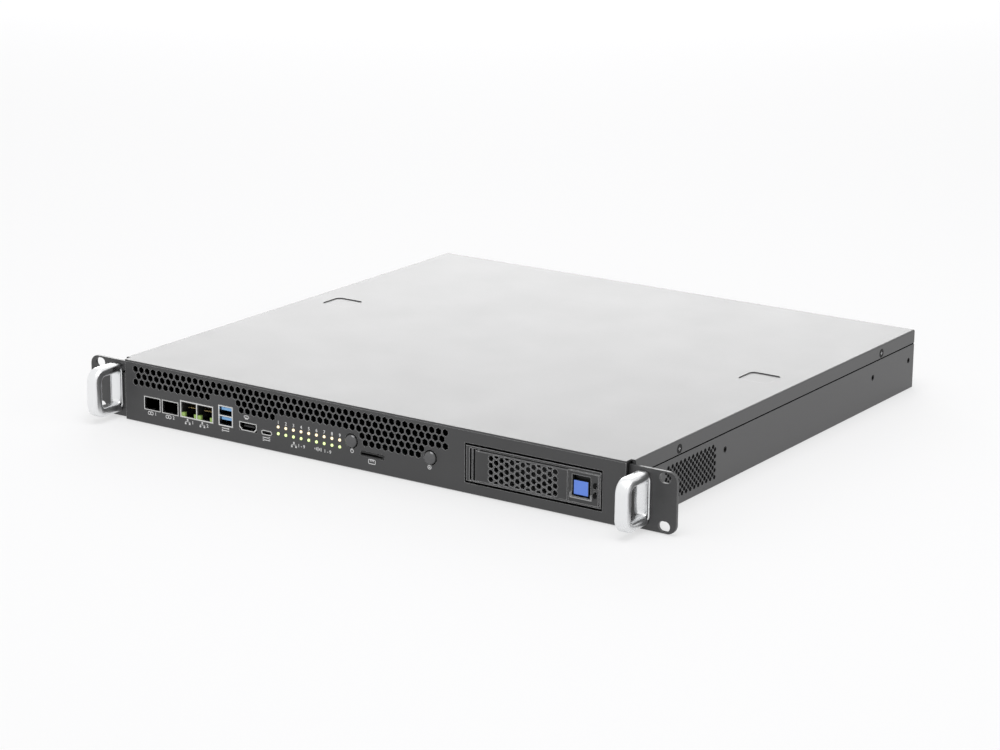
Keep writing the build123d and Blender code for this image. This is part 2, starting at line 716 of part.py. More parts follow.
def push_button(x):
    """Domed cap with a retaining flange behind the panel and a plunger."""
    front = FACE_Y - BUTTON_PROUD
    length = PANEL_BACK + SLIDE + BUTTON_TRAVEL - front
    cap = Cylinder(BUTTON_R, length) & Pos(0, 0, length / 2 - BUTTON_DOME) * Sphere(BUTTON_DOME)
    base = -length / 2
    cap += Pos(0, 0, base - BUTTON_FLANGE / 2) * Cylinder(BUTTON_FLANGE_R, BUTTON_FLANGE)
    cap += Pos(0, 0, base - BUTTON_FLANGE - PLUNGER_LENGTH / 2) * Cylinder(PLUNGER_R, PLUNGER_LENGTH)
    return Pos(x, front + length / 2, BUTTON_Z) * Rot(90, 0, 0) * cap


def button_switches():
    """Switch bodies on the board behind the plungers."""
    front = PANEL_BACK + SLIDE + 2 * BUTTON_TRAVEL + BUTTON_FLANGE + PLUNGER_LENGTH + SLIDE
    half = SWITCH_WIDTH / 2
    return [
        block(x - half, x + half, front, front + SWITCH_DEPTH, BOARD_TOP, BUTTON_Z + half) for x in BUTTON_X
    ]


def drive_cage():
    """Sheet tunnel of the drive bay on two feet."""
    left, right = BAY_X0 - CAGE_WALL, BAY_X1 + CAGE_WALL
    tunnel = block(left, right, PANEL_BACK, CAGE_END, BAY_Z0 - CAGE_WALL, BAY_Z1 + CAGE_WALL)
    tunnel += block(left, BAY_X0, PANEL_BACK, CAGE_END, SHEET, BAY_Z0)
    tunnel += block(BAY_X1, right, PANEL_BACK, CAGE_END, SHEET, BAY_Z0)
    tunnel += block(left - CAGE_FOOT, left, 0, CAGE_END, SHEET, SHEET + CAGE_WALL)
    tunnel += block(right, right + CAGE_FOOT, 0, CAGE_END, SHEET, SHEET + CAGE_WALL)
    return tunnel - block(BAY_X0, BAY_X1, PANEL_BACK, CAGE_END, BAY_Z0, BAY_Z1)


def drive_backplane():
    """Board at the end of the bay."""
    return block(BAY_X0, BAY_X1, CAGE_END - BACKPLANE_THICK, CAGE_END, BAY_Z0, BAY_Z1)


def backplane_plug():
    """Moulded plug of the backplane that the drive meets."""
    width, height, _ = BACKPLANE_PLUG
    front = TRAY_END + SLIDE
    return block(DRIVE_X - width / 2, DRIVE_X + width / 2, front, CAGE_END - BACKPLANE_THICK,
                 DRIVE_Z0, DRIVE_Z0 + height)


def tray_frame():
    """Bent tray of the drive: two side rails and a windowed floor."""
    top = TRAY_Z0 + TRAY_RAIL
    tray = block(TRAY_X0, TRAY_X1, BEZEL_BACK, TRAY_END, TRAY_Z0, top)
    half = DRIVE_WIDTH / 2
    tray -= block(DRIVE_X - half, DRIVE_X + half, BEZEL_BACK, TRAY_END, DRIVE_Z0, top)
    bar = (DRIVE_LENGTH - 2 * TRAY_WINDOW) / 3
    left, right = DRIVE_X - half + bar, DRIVE_X + half - bar
    for start in (BEZEL_BACK + bar, BEZEL_BACK + 2 * bar + TRAY_WINDOW):
        tray -= block(left, right, start, start + TRAY_WINDOW, TRAY_Z0, DRIVE_Z0)
    return tray


def latch_face(grow=0.0, above=0.0):
    """Front-view rectangle of the release button, grown on all sides and upwards."""
    width, height = LATCH_SIZE
    return Pos(LATCH_X, LATCH_Z + above / 2) * Rectangle(width + 2 * grow, height + 2 * grow + above)


def pipe_channels(front):
    """The space of the two light pipes, from the depth front back to the end of the bezel."""
    width, height = PIPE_SIZE
    left, right = PIPE_X - width / 2, PIPE_X + width / 2
    return [block(left, right, front, BEZEL_BACK, z - height / 2, z + height / 2) for z in PIPE_Z]


def tray_bezel():
    """Moulded front of the tray with the recess of the lever and the button's pad."""
    bezel = block(BEZEL_X0, BEZEL_X1, FACE_Y, BEZEL_BACK, BEZEL_Z0, BEZEL_Z1)
    bezel -= block(BEZEL_X0 + BEZEL_STRIP, RECESS_X1, FACE_Y, RECESS_Y, RECESS_Z0, RECESS_Z1)
    bezel -= block(*INTAKE_X, RECESS_Y, BEZEL_BACK, *INTAKE_Z)
    bezel += block(RIB_X - RIB_WIDTH, RIB_X, FACE_Y, RECESS_Y, RECESS_Z0, RECESS_Z1)
    bezel += block(RECESS_X1, BEZEL_X1 - PAD_MARGIN, FACE_Y - PAD_PROUD, FACE_Y, LEVER_Z0, LEVER_Z1)
    width, height = LATCH_SIZE
    half = width / 2 + LATCH_GAP
    floor = LATCH_Z - height / 2 - LATCH_GAP
    bezel += block(LATCH_X - half - LIP_WIDTH, LATCH_X + half + LIP_WIDTH,
                   FACE_Y - PAD_PROUD - LIP_PROUD, FACE_Y, floor - LIP_WIDTH, floor + LIP_RISE)
    pocket_end = LATCH_Y + LATCH_LENGTH + LATCH_TRAVEL + SLIDE
    bezel -= along_y(latch_face(LATCH_GAP, LATCH_ROOM), FACE_Y - PAD_PROUD - LIP_PROUD, pocket_end)
    return bezel - pipe_channels(FACE_Y - PAD_PROUD) - lever_pin()


def tray_light_pipes():
    """Clear pipes of the two drive lamps."""
    return pipe_channels(FACE_Y - PAD_PROUD + PIPE_SUNK)


def lever_pin():
    """Hinge pin of the lever, held in the bezel."""
    return Pos(HINGE_X, HINGE_Y, (BEZEL_Z0 + BEZEL_Z1) / 2) * Cylinder(PIN_R, BEZEL_Z1 - BEZEL_Z0)


def grille_holes():
    """Outlines of the lever's vent holes; every second column ends in half cells."""
    step = GRILLE_PITCH * 2 / sqrt(3)
    middle = (LEVER_Z0 + LEVER_Z1) / 2
    cell = hexagon(GRILLE_FLATS)
    upper = cell & Pos(0, GRILLE_FLATS / 4) * Rectangle(2 * GRILLE_FLATS, GRILLE_FLATS / 2)
    lower = Rot(0, 0, 180) * upper
    holes = []
    for i in range(GRILLE_COLUMNS):
        x = GRILLE_X0 + i * GRILLE_PITCH
        count = GRILLE_HOLES - i % 2
        holes += [Pos(x, middle + (k - (count - 1) / 2) * step) * cell for k in range(count)]
        if i % 2:
            end = (count + 1) / 2 * step
            holes += [Pos(x, middle - end) * upper, Pos(x, middle + end) * lower]
    return holes


def tray_lever():
    """Hollow-backed lever with a rolled hinge barrel and a honeycomb grille."""
    back = LEVER_Y + LEVER_DEPTH
    lever = block(HINGE_X, LEVER_RIGHT, LEVER_Y, back, LEVER_Z0, LEVER_Z1)
    lever = fillet(lever.edges().filter_by(Axis.X).group_by(Axis.Y)[0], LEVER_EDGE)
    lever -= block(HINGE_X + BARREL_R + LEVER_RIM, LEVER_RIGHT - LEVER_RIM, LEVER_Y + LEVER_SKIN, back,
                   LEVER_Z0 + LEVER_RIM, LEVER_Z1 - LEVER_RIM)
    middle = (LEVER_Z0 + LEVER_Z1) / 2
    lever += Pos(HINGE_X, HINGE_Y, middle) * Cylinder(BARREL_R, LEVER_Z1 - LEVER_Z0)
    lever -= Pos(HINGE_X, HINGE_Y, middle) * Cylinder(PIN_R + PIN_FIT, LEVER_Z1 - LEVER_Z0)
    return lever - [along_y(hole, LEVER_Y, back) for hole in grille_holes()]


def release_button():
    """Blue button with a wider guide skirt behind its cap."""
    button = along_y(latch_face(), LATCH_Y, LATCH_Y + LATCH_LENGTH)
    button = chamfer(button.edges().group_by(Axis.Y)[0], LATCH_CORNER / 2)
    skirt_start = LATCH_Y + LATCH_LENGTH - LATCH_SKIRT
    skirt = latch_face(LATCH_GAP - SLIDE, LATCH_ROOM)
    return button + along_y(skirt, skirt_start, LATCH_Y + LATCH_LENGTH)


def hard_drive():
    """Cast drive body with a raised lid."""
    half = DRIVE_WIDTH / 2
    top = DRIVE_Z0 + DRIVE_HEIGHT - DRIVE_LID
    body = block(DRIVE_X - half, DRIVE_X + half, BEZEL_BACK, TRAY_END, DRIVE_Z0, top)
    lid = RectangleRounded(DRIVE_WIDTH - 2 * DRIVE_CORNER, DRIVE_LENGTH - 2 * DRIVE_CORNER, DRIVE_CORNER)
    return body + Pos(DRIVE_X, (BEZEL_BACK + TRAY_END) / 2, top) * extrude(lid, amount=DRIVE_LID)


def module_x():
    """X of the plug-in modules."""
    return [MODULE_X0 + i * MODULE_PITCH for i in range(MODULE_COUNT)]


def compute_modules():
    """Upright processor cards in a row."""
    thick, length, height = MODULE_SIZE
    low = BOARD_TOP + MODULE_SEAT
    return [block(x, x + thick, MODULE_Y0, MODULE_Y0 + length, low, low + height) for x in module_x()]


def module_sockets():
    """Card sockets on the mainboard."""
    thick, length, _ = MODULE_SIZE
    side = (SOCKET_WIDTH - thick) / 2
    sockets = []
    for x in module_x():
        body = block(x - side, x + thick + side, MODULE_Y0 - SOCKET_END, MODULE_Y0 + length + SOCKET_END,
                     BOARD_TOP, BOARD_TOP + SOCKET_HEIGHT)
        sockets.append(body - block(x, x + thick, MODULE_Y0, MODULE_Y0 + length,
                                    BOARD_TOP + MODULE_SEAT, BOARD_TOP + SOCKET_HEIGHT))
    return sockets


def comb(base, reach, width, fins, thick):
    """Profile of a heat sink lying along local X, its fins pointing up."""
    pitch = (width - thick) / (fins - 1)
    points = [(0, 0), (width, 0)]
    for i in reversed(range(fins)):
        points += [(i * pitch + thick, base + reach), (i * pitch, base + reach)]
        if i:
            points += [(i * pitch, base), ((i - 1) * pitch + thick, base)]
    return outline(points)


def module_heatsinks():
    """Finned coolers on the faces of the modules."""
    thick, length, height = MODULE_SIZE
    start = MODULE_Y0 + (length - SINK_LENGTH) / 2
    low = BOARD_TOP + MODULE_SEAT + height - SINK_HEIGHT
    profile = comb(SINK_BASE, FIN_REACH, SINK_HEIGHT, FIN_COUNT, FIN_THICK)
    sinks = []
    for x in module_x():
        plane = Plane(origin=(x + thick, start, low), x_dir=(0, 0, 1), z_dir=(0, 1, 0))
        sinks.append(extrude(plane * profile, amount=SINK_LENGTH))
    return sinks


def main_chip():
    """Switch chip of the mainboard."""
    width, length, thick = CHIP_SIZE
    return block(CHIP_X - width / 2, CHIP_X + width / 2, CHIP_Y - length / 2, CHIP_Y + length / 2,
                 BOARD_TOP, BOARD_TOP + thick)


def main_cooler():
    """Finned cooler on the main chip, fins along the air flow."""
    width, length, height = COOLER_SIZE
    profile = comb(COOLER_BASE, height - COOLER_BASE, width, COOLER_FINS, FIN_THICK)
    start = BOARD_TOP + CHIP_SIZE[2]
    return along_y(Pos(CHIP_X - width / 2, start) * profile, CHIP_Y - length / 2, CHIP_Y + length / 2)


def fan_frame(x, y, z, size, depth, bore):
    """Square fan housing with a motor seat on struts at its outlet."""
    half = size / 2
    frame = block(x - half, x + half, y, y + depth, z - half, z + half)
    frame -= along_y(Pos(x, z) * Circle(bore), y, y + depth)
    seat = y + depth - MOTOR_THICK
    frame += along_y(Pos(x, z) * Circle(HUB_R), seat, y + depth)
    arm = STRUT_WIDTH / 2
    edge = half - (size - 2 * bore) / 4
    for strut in (block(x - edge, x + edge, seat, y + depth, z - arm, z + arm),
                  block(x - arm, x + arm, seat, y + depth, z - edge, z + edge)):
        frame += strut
    return frame


def fan_rotor(x, y, z, depth, bore):
    """Hub with pitched blades, turning about Y."""
    tip = bore - BLADE_GAP
    length = depth - MOTOR_THICK - 2 * SLIDE
    blade = Rot(BLADE_PITCH, 0, 0) * Box(tip, length * BLADE_LENGTH, BLADE_THICK)
    blade = Pos((HUB_R + tip) / 2, 0, 0) * blade
    rotor = Rot(90, 0, 0) * Cylinder(HUB_R, length)
    for i in range(BLADE_COUNT):
        rotor += Rot(0, i * 360 / BLADE_COUNT, 0) * blade
    rotor &= Rot(90, 0, 0) * Cylinder(tip, length)
    return Pos(x, y + SLIDE + length / 2, z) * rotor


def fan_channel():
    """Sheet channel on the base in which the fans stand."""
    left = FAN_X[0] - FAN_SIZE / 2 - FAN_SHELF_END
    right = FAN_X[-1] + FAN_SIZE / 2 + FAN_SHELF_END
    front, back = FAN_Y - FAN_SHELF, FAN_Y + FAN_DEPTH + FAN_SHELF
    channel = block(left, right, front, back, SHEET, SHEET + FAN_SHELF_LIP)
    return channel - block(left, right, FAN_Y, FAN_Y + FAN_DEPTH, SHEET + FAN_SHELF, SHEET + FAN_SHELF_LIP)


def psu_case():
    """Closed case of the power supply with a fan guard and the inlet's cut-out."""
    case = block(PSU_X0, PSU_X1, PSU_Y0, PSU_Y1, SHEET, PSU_TOP)
    case -= block(PSU_X0 + PSU_WALL, PSU_X1 - PSU_WALL, PSU_Y0 + PSU_WALL, PSU_Y1 - PSU_WALL,
                  SHEET + PSU_WALL, PSU_TOP - PSU_WALL)
    case -= along_y(inlet_outline(SEAT), PSU_Y1 - PSU_WALL, PSU_Y1)
    for i in range(GUARD_SLOTS):
        offset = (i - (GUARD_SLOTS - 1) / 2) * GUARD_PITCH
        chord = sqrt((PSU_FAN_BORE_R - PSU_WALL) ** 2 - offset ** 2)
        case -= block(PSU_FAN_X - chord, PSU_FAN_X + chord, PSU_Y1 - PSU_WALL, PSU_Y1,
                      PSU_MID + offset - GUARD_SLOT / 2, PSU_MID + offset + GUARD_SLOT / 2)
    return case


def inlet_outline(grow):
    """Front view of the mains inlet, its upper corners cut off."""
    width, height, _ = INLET_SIZE
    half = width / 2 + grow
    rise = height / 2 + grow
    points = [
        (INLET_X + x, PSU_MID + z) for x, z in both_sides([
            (half, -rise), (half, rise - INLET_CORNER), (half - INLET_CORNER, rise)])
    ]
    return outline(points)


def psu_inlet():
    """Mains inlet with a deep cavity for the plug."""
    front = PSU_Y1
    body = along_y(inlet_outline(0), front - INLET_SIZE[2], front)
    return body - along_y(inlet_outline(-INLET_WALL), front - INLET_CAVITY, front)


def inlet_pins():
    """Three flat pins, the middle one raised."""
    width, height, length = INLET_PIN
    back = PSU_Y1 - INLET_CAVITY
    places = [(-INLET_PIN_PITCH, -INLET_PIN_RISE), (0, INLET_PIN_RISE), (INLET_PIN_PITCH, -INLET_PIN_RISE)]
    return [
        block(INLET_X + x - width / 2, INLET_X + x + width / 2, back, back + length,
              PSU_MID + z - height / 2, PSU_MID + z + height / 2)
        for x, z in places
    ]


def save(name, shape):
    """Write one node; a list of solids becomes a group."""
    if isinstance(shape, list):
        shape = Compound(children=[solid for piece in shape for solid in piece.solids()])
    shape.label = name
    export_step(shape, f"parts/{name}.step")


def build():
    """Every node of the server by name."""
    nodes = {
        "chassis_base": chassis_base(),
        "top_cover": top_cover(),
        "front_panel": front_panel(),
        "rear_panel": rear_panel(),
        "ear_right": ear(),
        "ear_left": mirror(ear(), Plane.YZ),
        "handle_right": handle(),
        "handle_left": mirror(handle(), Plane.YZ),
        "cover_screws": cover_screws(),
        "ear_screws": ear_screws(),
        "handle_screws": handle_screws(),
        "side_inserts": side_inserts(),
        "mainboard": mainboard(),
        "board_standoffs": board_standoffs(),
        "lan_jack_shell": lan_jack_shell(),
        "lan_jack_insert": lan_jack_insert(),
        "lan_jack_lamps": lan_jack_lamps(),
        "data_port_shell": data_port_shell(),
        "data_port_tongues": data_port_tongues(),
        "video_port_shell": video_port_shell(),
        "small_port_shell": small_port_shell(),
        "contact_tongues": [
            port_tongue(VIDEO_X, VIDEO_SIZE, VIDEO_TONGUE), port_tongue(SMALL_X, SMALL_SIZE, SMALL_TONGUE),
        ],
        "card_socket": card_socket(),
        "lamp_lenses_upper": lamp_lenses(0),
        "lamp_lenses_lower": lamp_lenses(1),
        "lamp_holder": lamp_holder(),
        "button_left": push_button(BUTTON_X[0]),
        "button_right": push_button(BUTTON_X[1]),
        "button_switches": button_switches(),
        "drive_cage": drive_cage(),
        "drive_backplane": drive_backplane(),
        "backplane_plug": backplane_plug(),
        "tray_frame": tray_frame(),
        "tray_bezel": tray_bezel(),
        "tray_light_pipes": tray_light_pipes(),
        "tray_lever": tray_lever(),
        "lever_pin": lever_pin(),
        "release_button": release_button(),
        "hard_drive": hard_drive(),
        "compute_modules": compute_modules(),
        "module_sockets": module_sockets(),
        "module_heatsinks": module_heatsinks(),
        "main_chip": main_chip(),
        "main_cooler": main_cooler(),
        "fan_channel": fan_channel(),
        "psu_case": psu_case(),
        "psu_inlet": psu_inlet(),
        "inlet_pins": inlet_pins(),
        "psu_fan_frame": fan_frame(*PSU_FAN_PLACE, PSU_FAN_SIZE, PSU_FAN_DEPTH, PSU_FAN_BORE_R),
        "psu_fan_rotor": fan_rotor(*PSU_FAN_PLACE, PSU_FAN_DEPTH, PSU_FAN_BORE_R),
    }
    for side, x in zip(("left", "right"), FIBRE_X):
        nodes[f"fibre_cage_{side}"] = port_tube(x, FIBRE_SIZE, THIN_SHELL)
    for number, x in enumerate(FAN_X, 1):
        nodes[f"fan_frame_{number}"] = fan_frame(x, FAN_Y, FAN_Z, FAN_SIZE, FAN_DEPTH, FAN_BORE_R)
        nodes[f"fan_rotor_{number}"] = fan_rotor(x, FAN_Y, FAN_Z, FAN_DEPTH, FAN_BORE_R)
    return nodes


os.makedirs("parts", exist_ok=True)
for node_name, node_shape in build().items():
    save(node_name, node_shape)
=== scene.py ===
# %% [markdown]
# # A rack server in Blender
# The sheet metal, the ports, the drive tray and the fans come packed from CAD at their real size.
# This lesson gives them their finishes and adds the small pieces that CAD leaves out.
# Everything is in metres, in the frame of the CAD model.

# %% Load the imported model
import math
import bpy
from mathutils import Matrix, Vector


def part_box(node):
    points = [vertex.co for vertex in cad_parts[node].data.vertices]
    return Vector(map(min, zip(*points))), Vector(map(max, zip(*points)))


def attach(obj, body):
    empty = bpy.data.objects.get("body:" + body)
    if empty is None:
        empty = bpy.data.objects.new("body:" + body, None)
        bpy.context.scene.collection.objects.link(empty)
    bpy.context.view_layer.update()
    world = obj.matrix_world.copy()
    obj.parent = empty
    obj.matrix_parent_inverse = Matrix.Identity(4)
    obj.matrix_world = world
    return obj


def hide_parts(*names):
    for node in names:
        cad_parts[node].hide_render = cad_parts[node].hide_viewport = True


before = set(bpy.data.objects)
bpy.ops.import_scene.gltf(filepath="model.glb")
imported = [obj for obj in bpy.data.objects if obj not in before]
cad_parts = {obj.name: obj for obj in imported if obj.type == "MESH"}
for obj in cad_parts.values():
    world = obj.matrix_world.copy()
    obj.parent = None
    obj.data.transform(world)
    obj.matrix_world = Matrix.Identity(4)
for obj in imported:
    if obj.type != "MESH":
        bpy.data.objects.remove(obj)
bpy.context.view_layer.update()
print("CAD nodes:", len(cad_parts))
MM = 0.001
FRONT, BACK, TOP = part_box("front_panel")[0].y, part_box("rear_panel")[1].y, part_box("top_cover")[1].z
print("panel face at", round(FRONT, 4), "rear at", round(BACK, 4), "top at", round(TOP, 4))

# %% [markdown]
# ## Working habits
# An operator acts on everything that is selected, and the loaded nodes are selected.
# So each new piece starts from an empty selection. Its place goes into its mesh at the end,
# because the export puts every object at the origin.

# %% Helpers for new pieces


def clear_selection():
    """Nothing selected, no active object."""
    bpy.ops.object.select_all(action="DESELECT")


def settle():
    """Puts the place, turn and scale of the selected object into its mesh."""
    bpy.ops.object.transform_apply(location=True, rotation=True, scale=True)
    return bpy.context.object


def add_block(low, high):
    """A box between two corners."""
    clear_selection()
    low, high = Vector(low), Vector(high)
    bpy.ops.mesh.primitive_cube_add(size=1, location=(low + high) / 2)
    bpy.context.object.scale = high - low
    return settle()


def add_rod(centre, radius, length, vertices=24, along="Y"):
    """A rod with its middle at centre, along X, Y or Z."""
    clear_selection()
    turn = {"X": (0, math.pi / 2, 0), "Y": (math.pi / 2, 0, 0), "Z": (0, 0, 0)}[along]
    bpy.ops.mesh.primitive_cylinder_add(
        vertices=vertices, radius=radius, depth=length, location=centre, rotation=turn
    )
    return settle()


def apply_modifier(piece, kind, **settings):
    """Adds a modifier, sets it up and applies it."""
    clear_selection()
    piece.select_set(True)
    bpy.context.view_layer.objects.active = piece
    modifier = piece.modifiers.new(kind.lower(), kind)
    for key, value in settings.items():
        setattr(modifier, key, value)
    bpy.ops.object.modifier_apply(modifier=modifier.name)
    return piece


def round_edges(piece, width, segments=3, angle=40):
    """Rounds the sharp edges of a piece."""
    return apply_modifier(
        piece, "BEVEL", width=width, segments=segments, limit_method="ANGLE",
        angle_limit=math.radians(angle),
    )


def cut(piece, tool):
    """Takes the tool's shape out of the piece."""
    apply_modifier(piece, "BOOLEAN", operation="DIFFERENCE", object=tool, solver="EXACT")
    bpy.data.objects.remove(tool)
    return piece


def join(pieces):
    """One object from several."""
    clear_selection()
    for piece in pieces:
        piece.select_set(True)
    bpy.context.view_layer.objects.active = pieces[0]
    bpy.ops.object.join()
    return bpy.context.object


def copy_at(piece, offset):
    """A copy with its own mesh, moved by offset."""
    twin = piece.copy()
    twin.data = piece.data.copy()
    bpy.context.scene.collection.objects.link(twin)
    twin.data.transform(Matrix.Translation(Vector(offset)))
    return twin


def mirrored(piece, name):
    """A copy on the other side of the middle plane, turned the right way out."""
    twin = copy_at(piece, (0, 0, 0))
    twin.data.transform(Matrix.Scale(-1, 4, (1, 0, 0)))
    twin.data.flip_normals()
    twin.name = name
    return twin


def smooth(piece, angle=35):
    """Smooth shading that keeps the sharp edges."""
    clear_selection()
    piece.select_set(True)
    bpy.context.view_layer.objects.active = piece
    bpy.ops.object.shade_smooth_by_angle(angle=math.radians(angle))
    return piece


def hand_over(piece, name, body, material, stands_for=()):
    """Names a finished piece and gives it its body, material and the nodes that it replaces.
    A piece that has its materials already is handed over with None."""
    piece.name = name
    if material:
        piece.data.materials.clear()
        piece.data.materials.append(material)
    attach(piece, body)
    if stands_for:
        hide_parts(*stands_for)
    return piece


# %% [markdown]
# ## Effects that several finishes share
# A powder coat is never quite flat: it has a fine orange peel and cloudy gloss, and its edges get a
# painted highlight. Drawn metal has lines, galvanised sheet has crystals, and recesses get painted
# shade, nearly black. All these are patterns over the surface, so each is built once as a node group
# and placed in the materials with their own values.

# %% Node group helpers


def new_group(name, inputs, outputs):
    """A shader node group with its named sockets, and its two end nodes."""
    group = bpy.data.node_groups.new(name, "ShaderNodeTree")
    for label, kind, value in inputs:
        socket = group.interface.new_socket(label, in_out="INPUT", socket_type=kind)
        socket.default_value = value
    for label, kind in outputs:
        group.interface.new_socket(label, in_out="OUTPUT", socket_type=kind)
    start = group.nodes.new("NodeGroupInput")
    end = group.nodes.new("NodeGroupOutput")
    return group, start, end


def add(tree, kind, **settings):
    """A node with its settings."""
    node = tree.nodes.new(kind)
    for key, value in settings.items():
        setattr(node, key, value)
    return node


def noise(tree, vector, scale, detail=3.0, roughness=0.5):
    """A noise texture on a vector; scale is a number or a socket."""
    node = add(tree, "ShaderNodeTexNoise")
    node.inputs["Detail"].default_value = detail
    node.inputs["Roughness"].default_value = roughness
    tree.links.new(vector, node.inputs["Vector"])
    if isinstance(scale, (int, float)):
        node.inputs["Scale"].default_value = scale
    else:
        tree.links.new(scale, node.inputs["Scale"])
    return node.outputs["Fac"]


def remap(tree, value, low, high, to_low, to_high):
    """Maps a value from one range to another, clamped."""
    node = add(tree, "ShaderNodeMapRange")
    tree.links.new(value, node.inputs["Value"])
    for label, number in (("From Min", low), ("From Max", high), ("To Min", to_low), ("To Max", to_high)):
        if isinstance(number, (int, float)):
            node.inputs[label].default_value = number
        else:
            tree.links.new(number, node.inputs[label])
    return node.outputs["Result"]


def calc(tree, operation, first, second):
    """One math node on two sockets or numbers."""
    node = add(tree, "ShaderNodeMath", operation=operation)
    for index, value in enumerate((first, second)):
        if isinstance(value, (int, float)):
            node.inputs[index].default_value = value
        else:
            tree.links.new(value, node.inputs[index])
    return node.outputs[0]


# %% Coat grain and soft edges
FLOAT = "NodeSocketFloat"
VECTOR = "NodeSocketVector"
NOISE_LOW, NOISE_HIGH = 0.3, 0.7              # most noise values lie between these
EDGE_STARTS, EDGE_FULL = 0.998, 0.93          # cosine between the plain and the rounded normal
BUMP_HEIGHT = 0.1 * MM


def make_surface_group():
    """Grain, cloudy variation and slightly rounded edges for coated, moulded and cast surfaces."""
    group, start, end = new_group(
        "surface_grain",
        [
            ("Grain Scale", FLOAT, 1800.0), ("Grain Depth", FLOAT, 0.1), ("Edge Radius", FLOAT, 0.0003),
            ("Cloud Scale", FLOAT, 22.0), ("Roughness", FLOAT, 0.5), ("Spread", FLOAT, 0.08),
        ],
        [("Cloud", FLOAT), ("Edge", FLOAT), ("Roughness", FLOAT), ("Normal", VECTOR)],
    )
    place = add(group, "ShaderNodeTexCoord").outputs["Object"]
    grain = noise(group, place, start.outputs["Grain Scale"], 2.0, 0.6)
    cloud = noise(group, place, start.outputs["Cloud Scale"], 5.0, 0.62)
    edge = add(group, "ShaderNodeBevel", samples=4)
    group.links.new(start.outputs["Edge Radius"], edge.inputs["Radius"])
    bump = add(group, "ShaderNodeBump")
    bump.inputs["Distance"].default_value = BUMP_HEIGHT
    group.links.new(start.outputs["Grain Depth"], bump.inputs["Strength"])
    group.links.new(grain, bump.inputs["Height"])
    group.links.new(edge.outputs["Normal"], bump.inputs["Normal"])
    group.links.new(bump.outputs["Normal"], end.inputs["Normal"])
    group.links.new(remap(group, cloud, NOISE_LOW, NOISE_HIGH, 0.0, 1.0), end.inputs["Cloud"])
    plain = add(group, "ShaderNodeNewGeometry").outputs["True Normal"]
    alike = add(group, "ShaderNodeVectorMath", operation="DOT_PRODUCT")
    group.links.new(edge.outputs["Normal"], alike.inputs[0])
    group.links.new(plain, alike.inputs[1])
    # The edge mask marks where a painted highlight is laid on the rims.
    edge_highlight = remap(group, alike.outputs["Value"], EDGE_STARTS, EDGE_FULL, 0.0, 1.0)
    group.links.new(edge_highlight, end.inputs["Edge"])
    half = calc(group, "MULTIPLY", start.outputs["Spread"], 0.5)
    low = calc(group, "SUBTRACT", start.outputs["Roughness"], half)
    high = calc(group, "ADD", start.outputs["Roughness"], half)
    group.links.new(remap(group, cloud, NOISE_LOW, NOISE_HIGH, low, high), end.inputs["Roughness"])
    return group


SURFACE = make_surface_group()


def make_brush_group():
    """Fine drawn lines along one axis, for brushed and rolled metal."""
    group, start, end = new_group(
        "drawn_lines",
        [("Fineness", FLOAT, 900.0), ("Depth", FLOAT, 0.15), ("Edge Radius", FLOAT, 0.0004)],
        [("Line", FLOAT), ("Normal", VECTOR)],
    )
    place = add(group, "ShaderNodeTexCoord").outputs["Object"]
    stretch = add(group, "ShaderNodeMapping")
    stretch.inputs["Scale"].default_value = (1.0, 1.0, 0.04)
    group.links.new(place, stretch.inputs["Vector"])
    line = noise(group, stretch.outputs["Vector"], start.outputs["Fineness"], 3.0, 0.7)
    edge = add(group, "ShaderNodeBevel", samples=4)
    group.links.new(start.outputs["Edge Radius"], edge.inputs["Radius"])
    bump = add(group, "ShaderNodeBump")
    bump.inputs["Distance"].default_value = BUMP_HEIGHT
    group.links.new(start.outputs["Depth"], bump.inputs["Strength"])
    group.links.new(line, bump.inputs["Height"])
    group.links.new(edge.outputs["Normal"], bump.inputs["Normal"])
    group.links.new(bump.outputs["Normal"], end.inputs["Normal"])
    group.links.new(line, end.inputs["Line"])
    return group


DRAWN = make_brush_group()


def make_spangle_group():
    """The crystal pattern of galvanised sheet."""
    group, start, end = new_group(
        "zinc_spangle", [("Size", FLOAT, 140.0)], [("Shade", FLOAT)]
    )
    place = add(group, "ShaderNodeTexCoord").outputs["Object"]
    cells = add(group, "ShaderNodeTexVoronoi")
    group.links.new(place, cells.inputs["Vector"])
    group.links.new(start.outputs["Size"], cells.inputs["Scale"])
    grey = add(group, "ShaderNodeRGBToBW")
    group.links.new(cells.outputs["Color"], grey.inputs["Color"])
    group.links.new(grey.outputs["Val"], end.inputs["Shade"])
    return group


SPANGLE = make_spangle_group()


def make_depth_group():
    """How deep a point lies behind the front: 0 at the first depth, 1 at the second."""
    group, start, end = new_group(
        "depth_shade", [("Front", FLOAT, 0.0), ("Deep", FLOAT, 0.01)], [("Depth", FLOAT)]
    )
    place = add(group, "ShaderNodeSeparateXYZ")
    group.links.new(add(group, "ShaderNodeTexCoord").outputs["Object"], place.inputs["Vector"])
    depth = remap(group, place.outputs["Y"], start.outputs["Front"], start.outputs["Deep"], 0.0, 1.0)
    group.links.new(depth, end.inputs["Depth"])
    return group


DEPTH = make_depth_group()

# %% [markdown]
# ## Materials
# The case wears a dark grey satin coat. Its colour hardly changes, so the life comes from the
# grain, from cloudy roughness and from soft highlights on the folded edges, partly painted into the
# colour.

# %% Material helpers


def new_material(name):
    """A node material with its Principled shader."""
    material = bpy.data.materials.new(name)
    material.use_nodes = True
    return material, material.node_tree, material.node_tree.nodes["Principled BSDF"]


def use_group(tree, group, **values):
    """Places a node group; an underscore in a name stands for a space."""
    node = add(tree, "ShaderNodeGroup")
    node.node_tree = group
    for key, value in values.items():
        node.inputs[key.replace("_", " ")].default_value = value
    return node


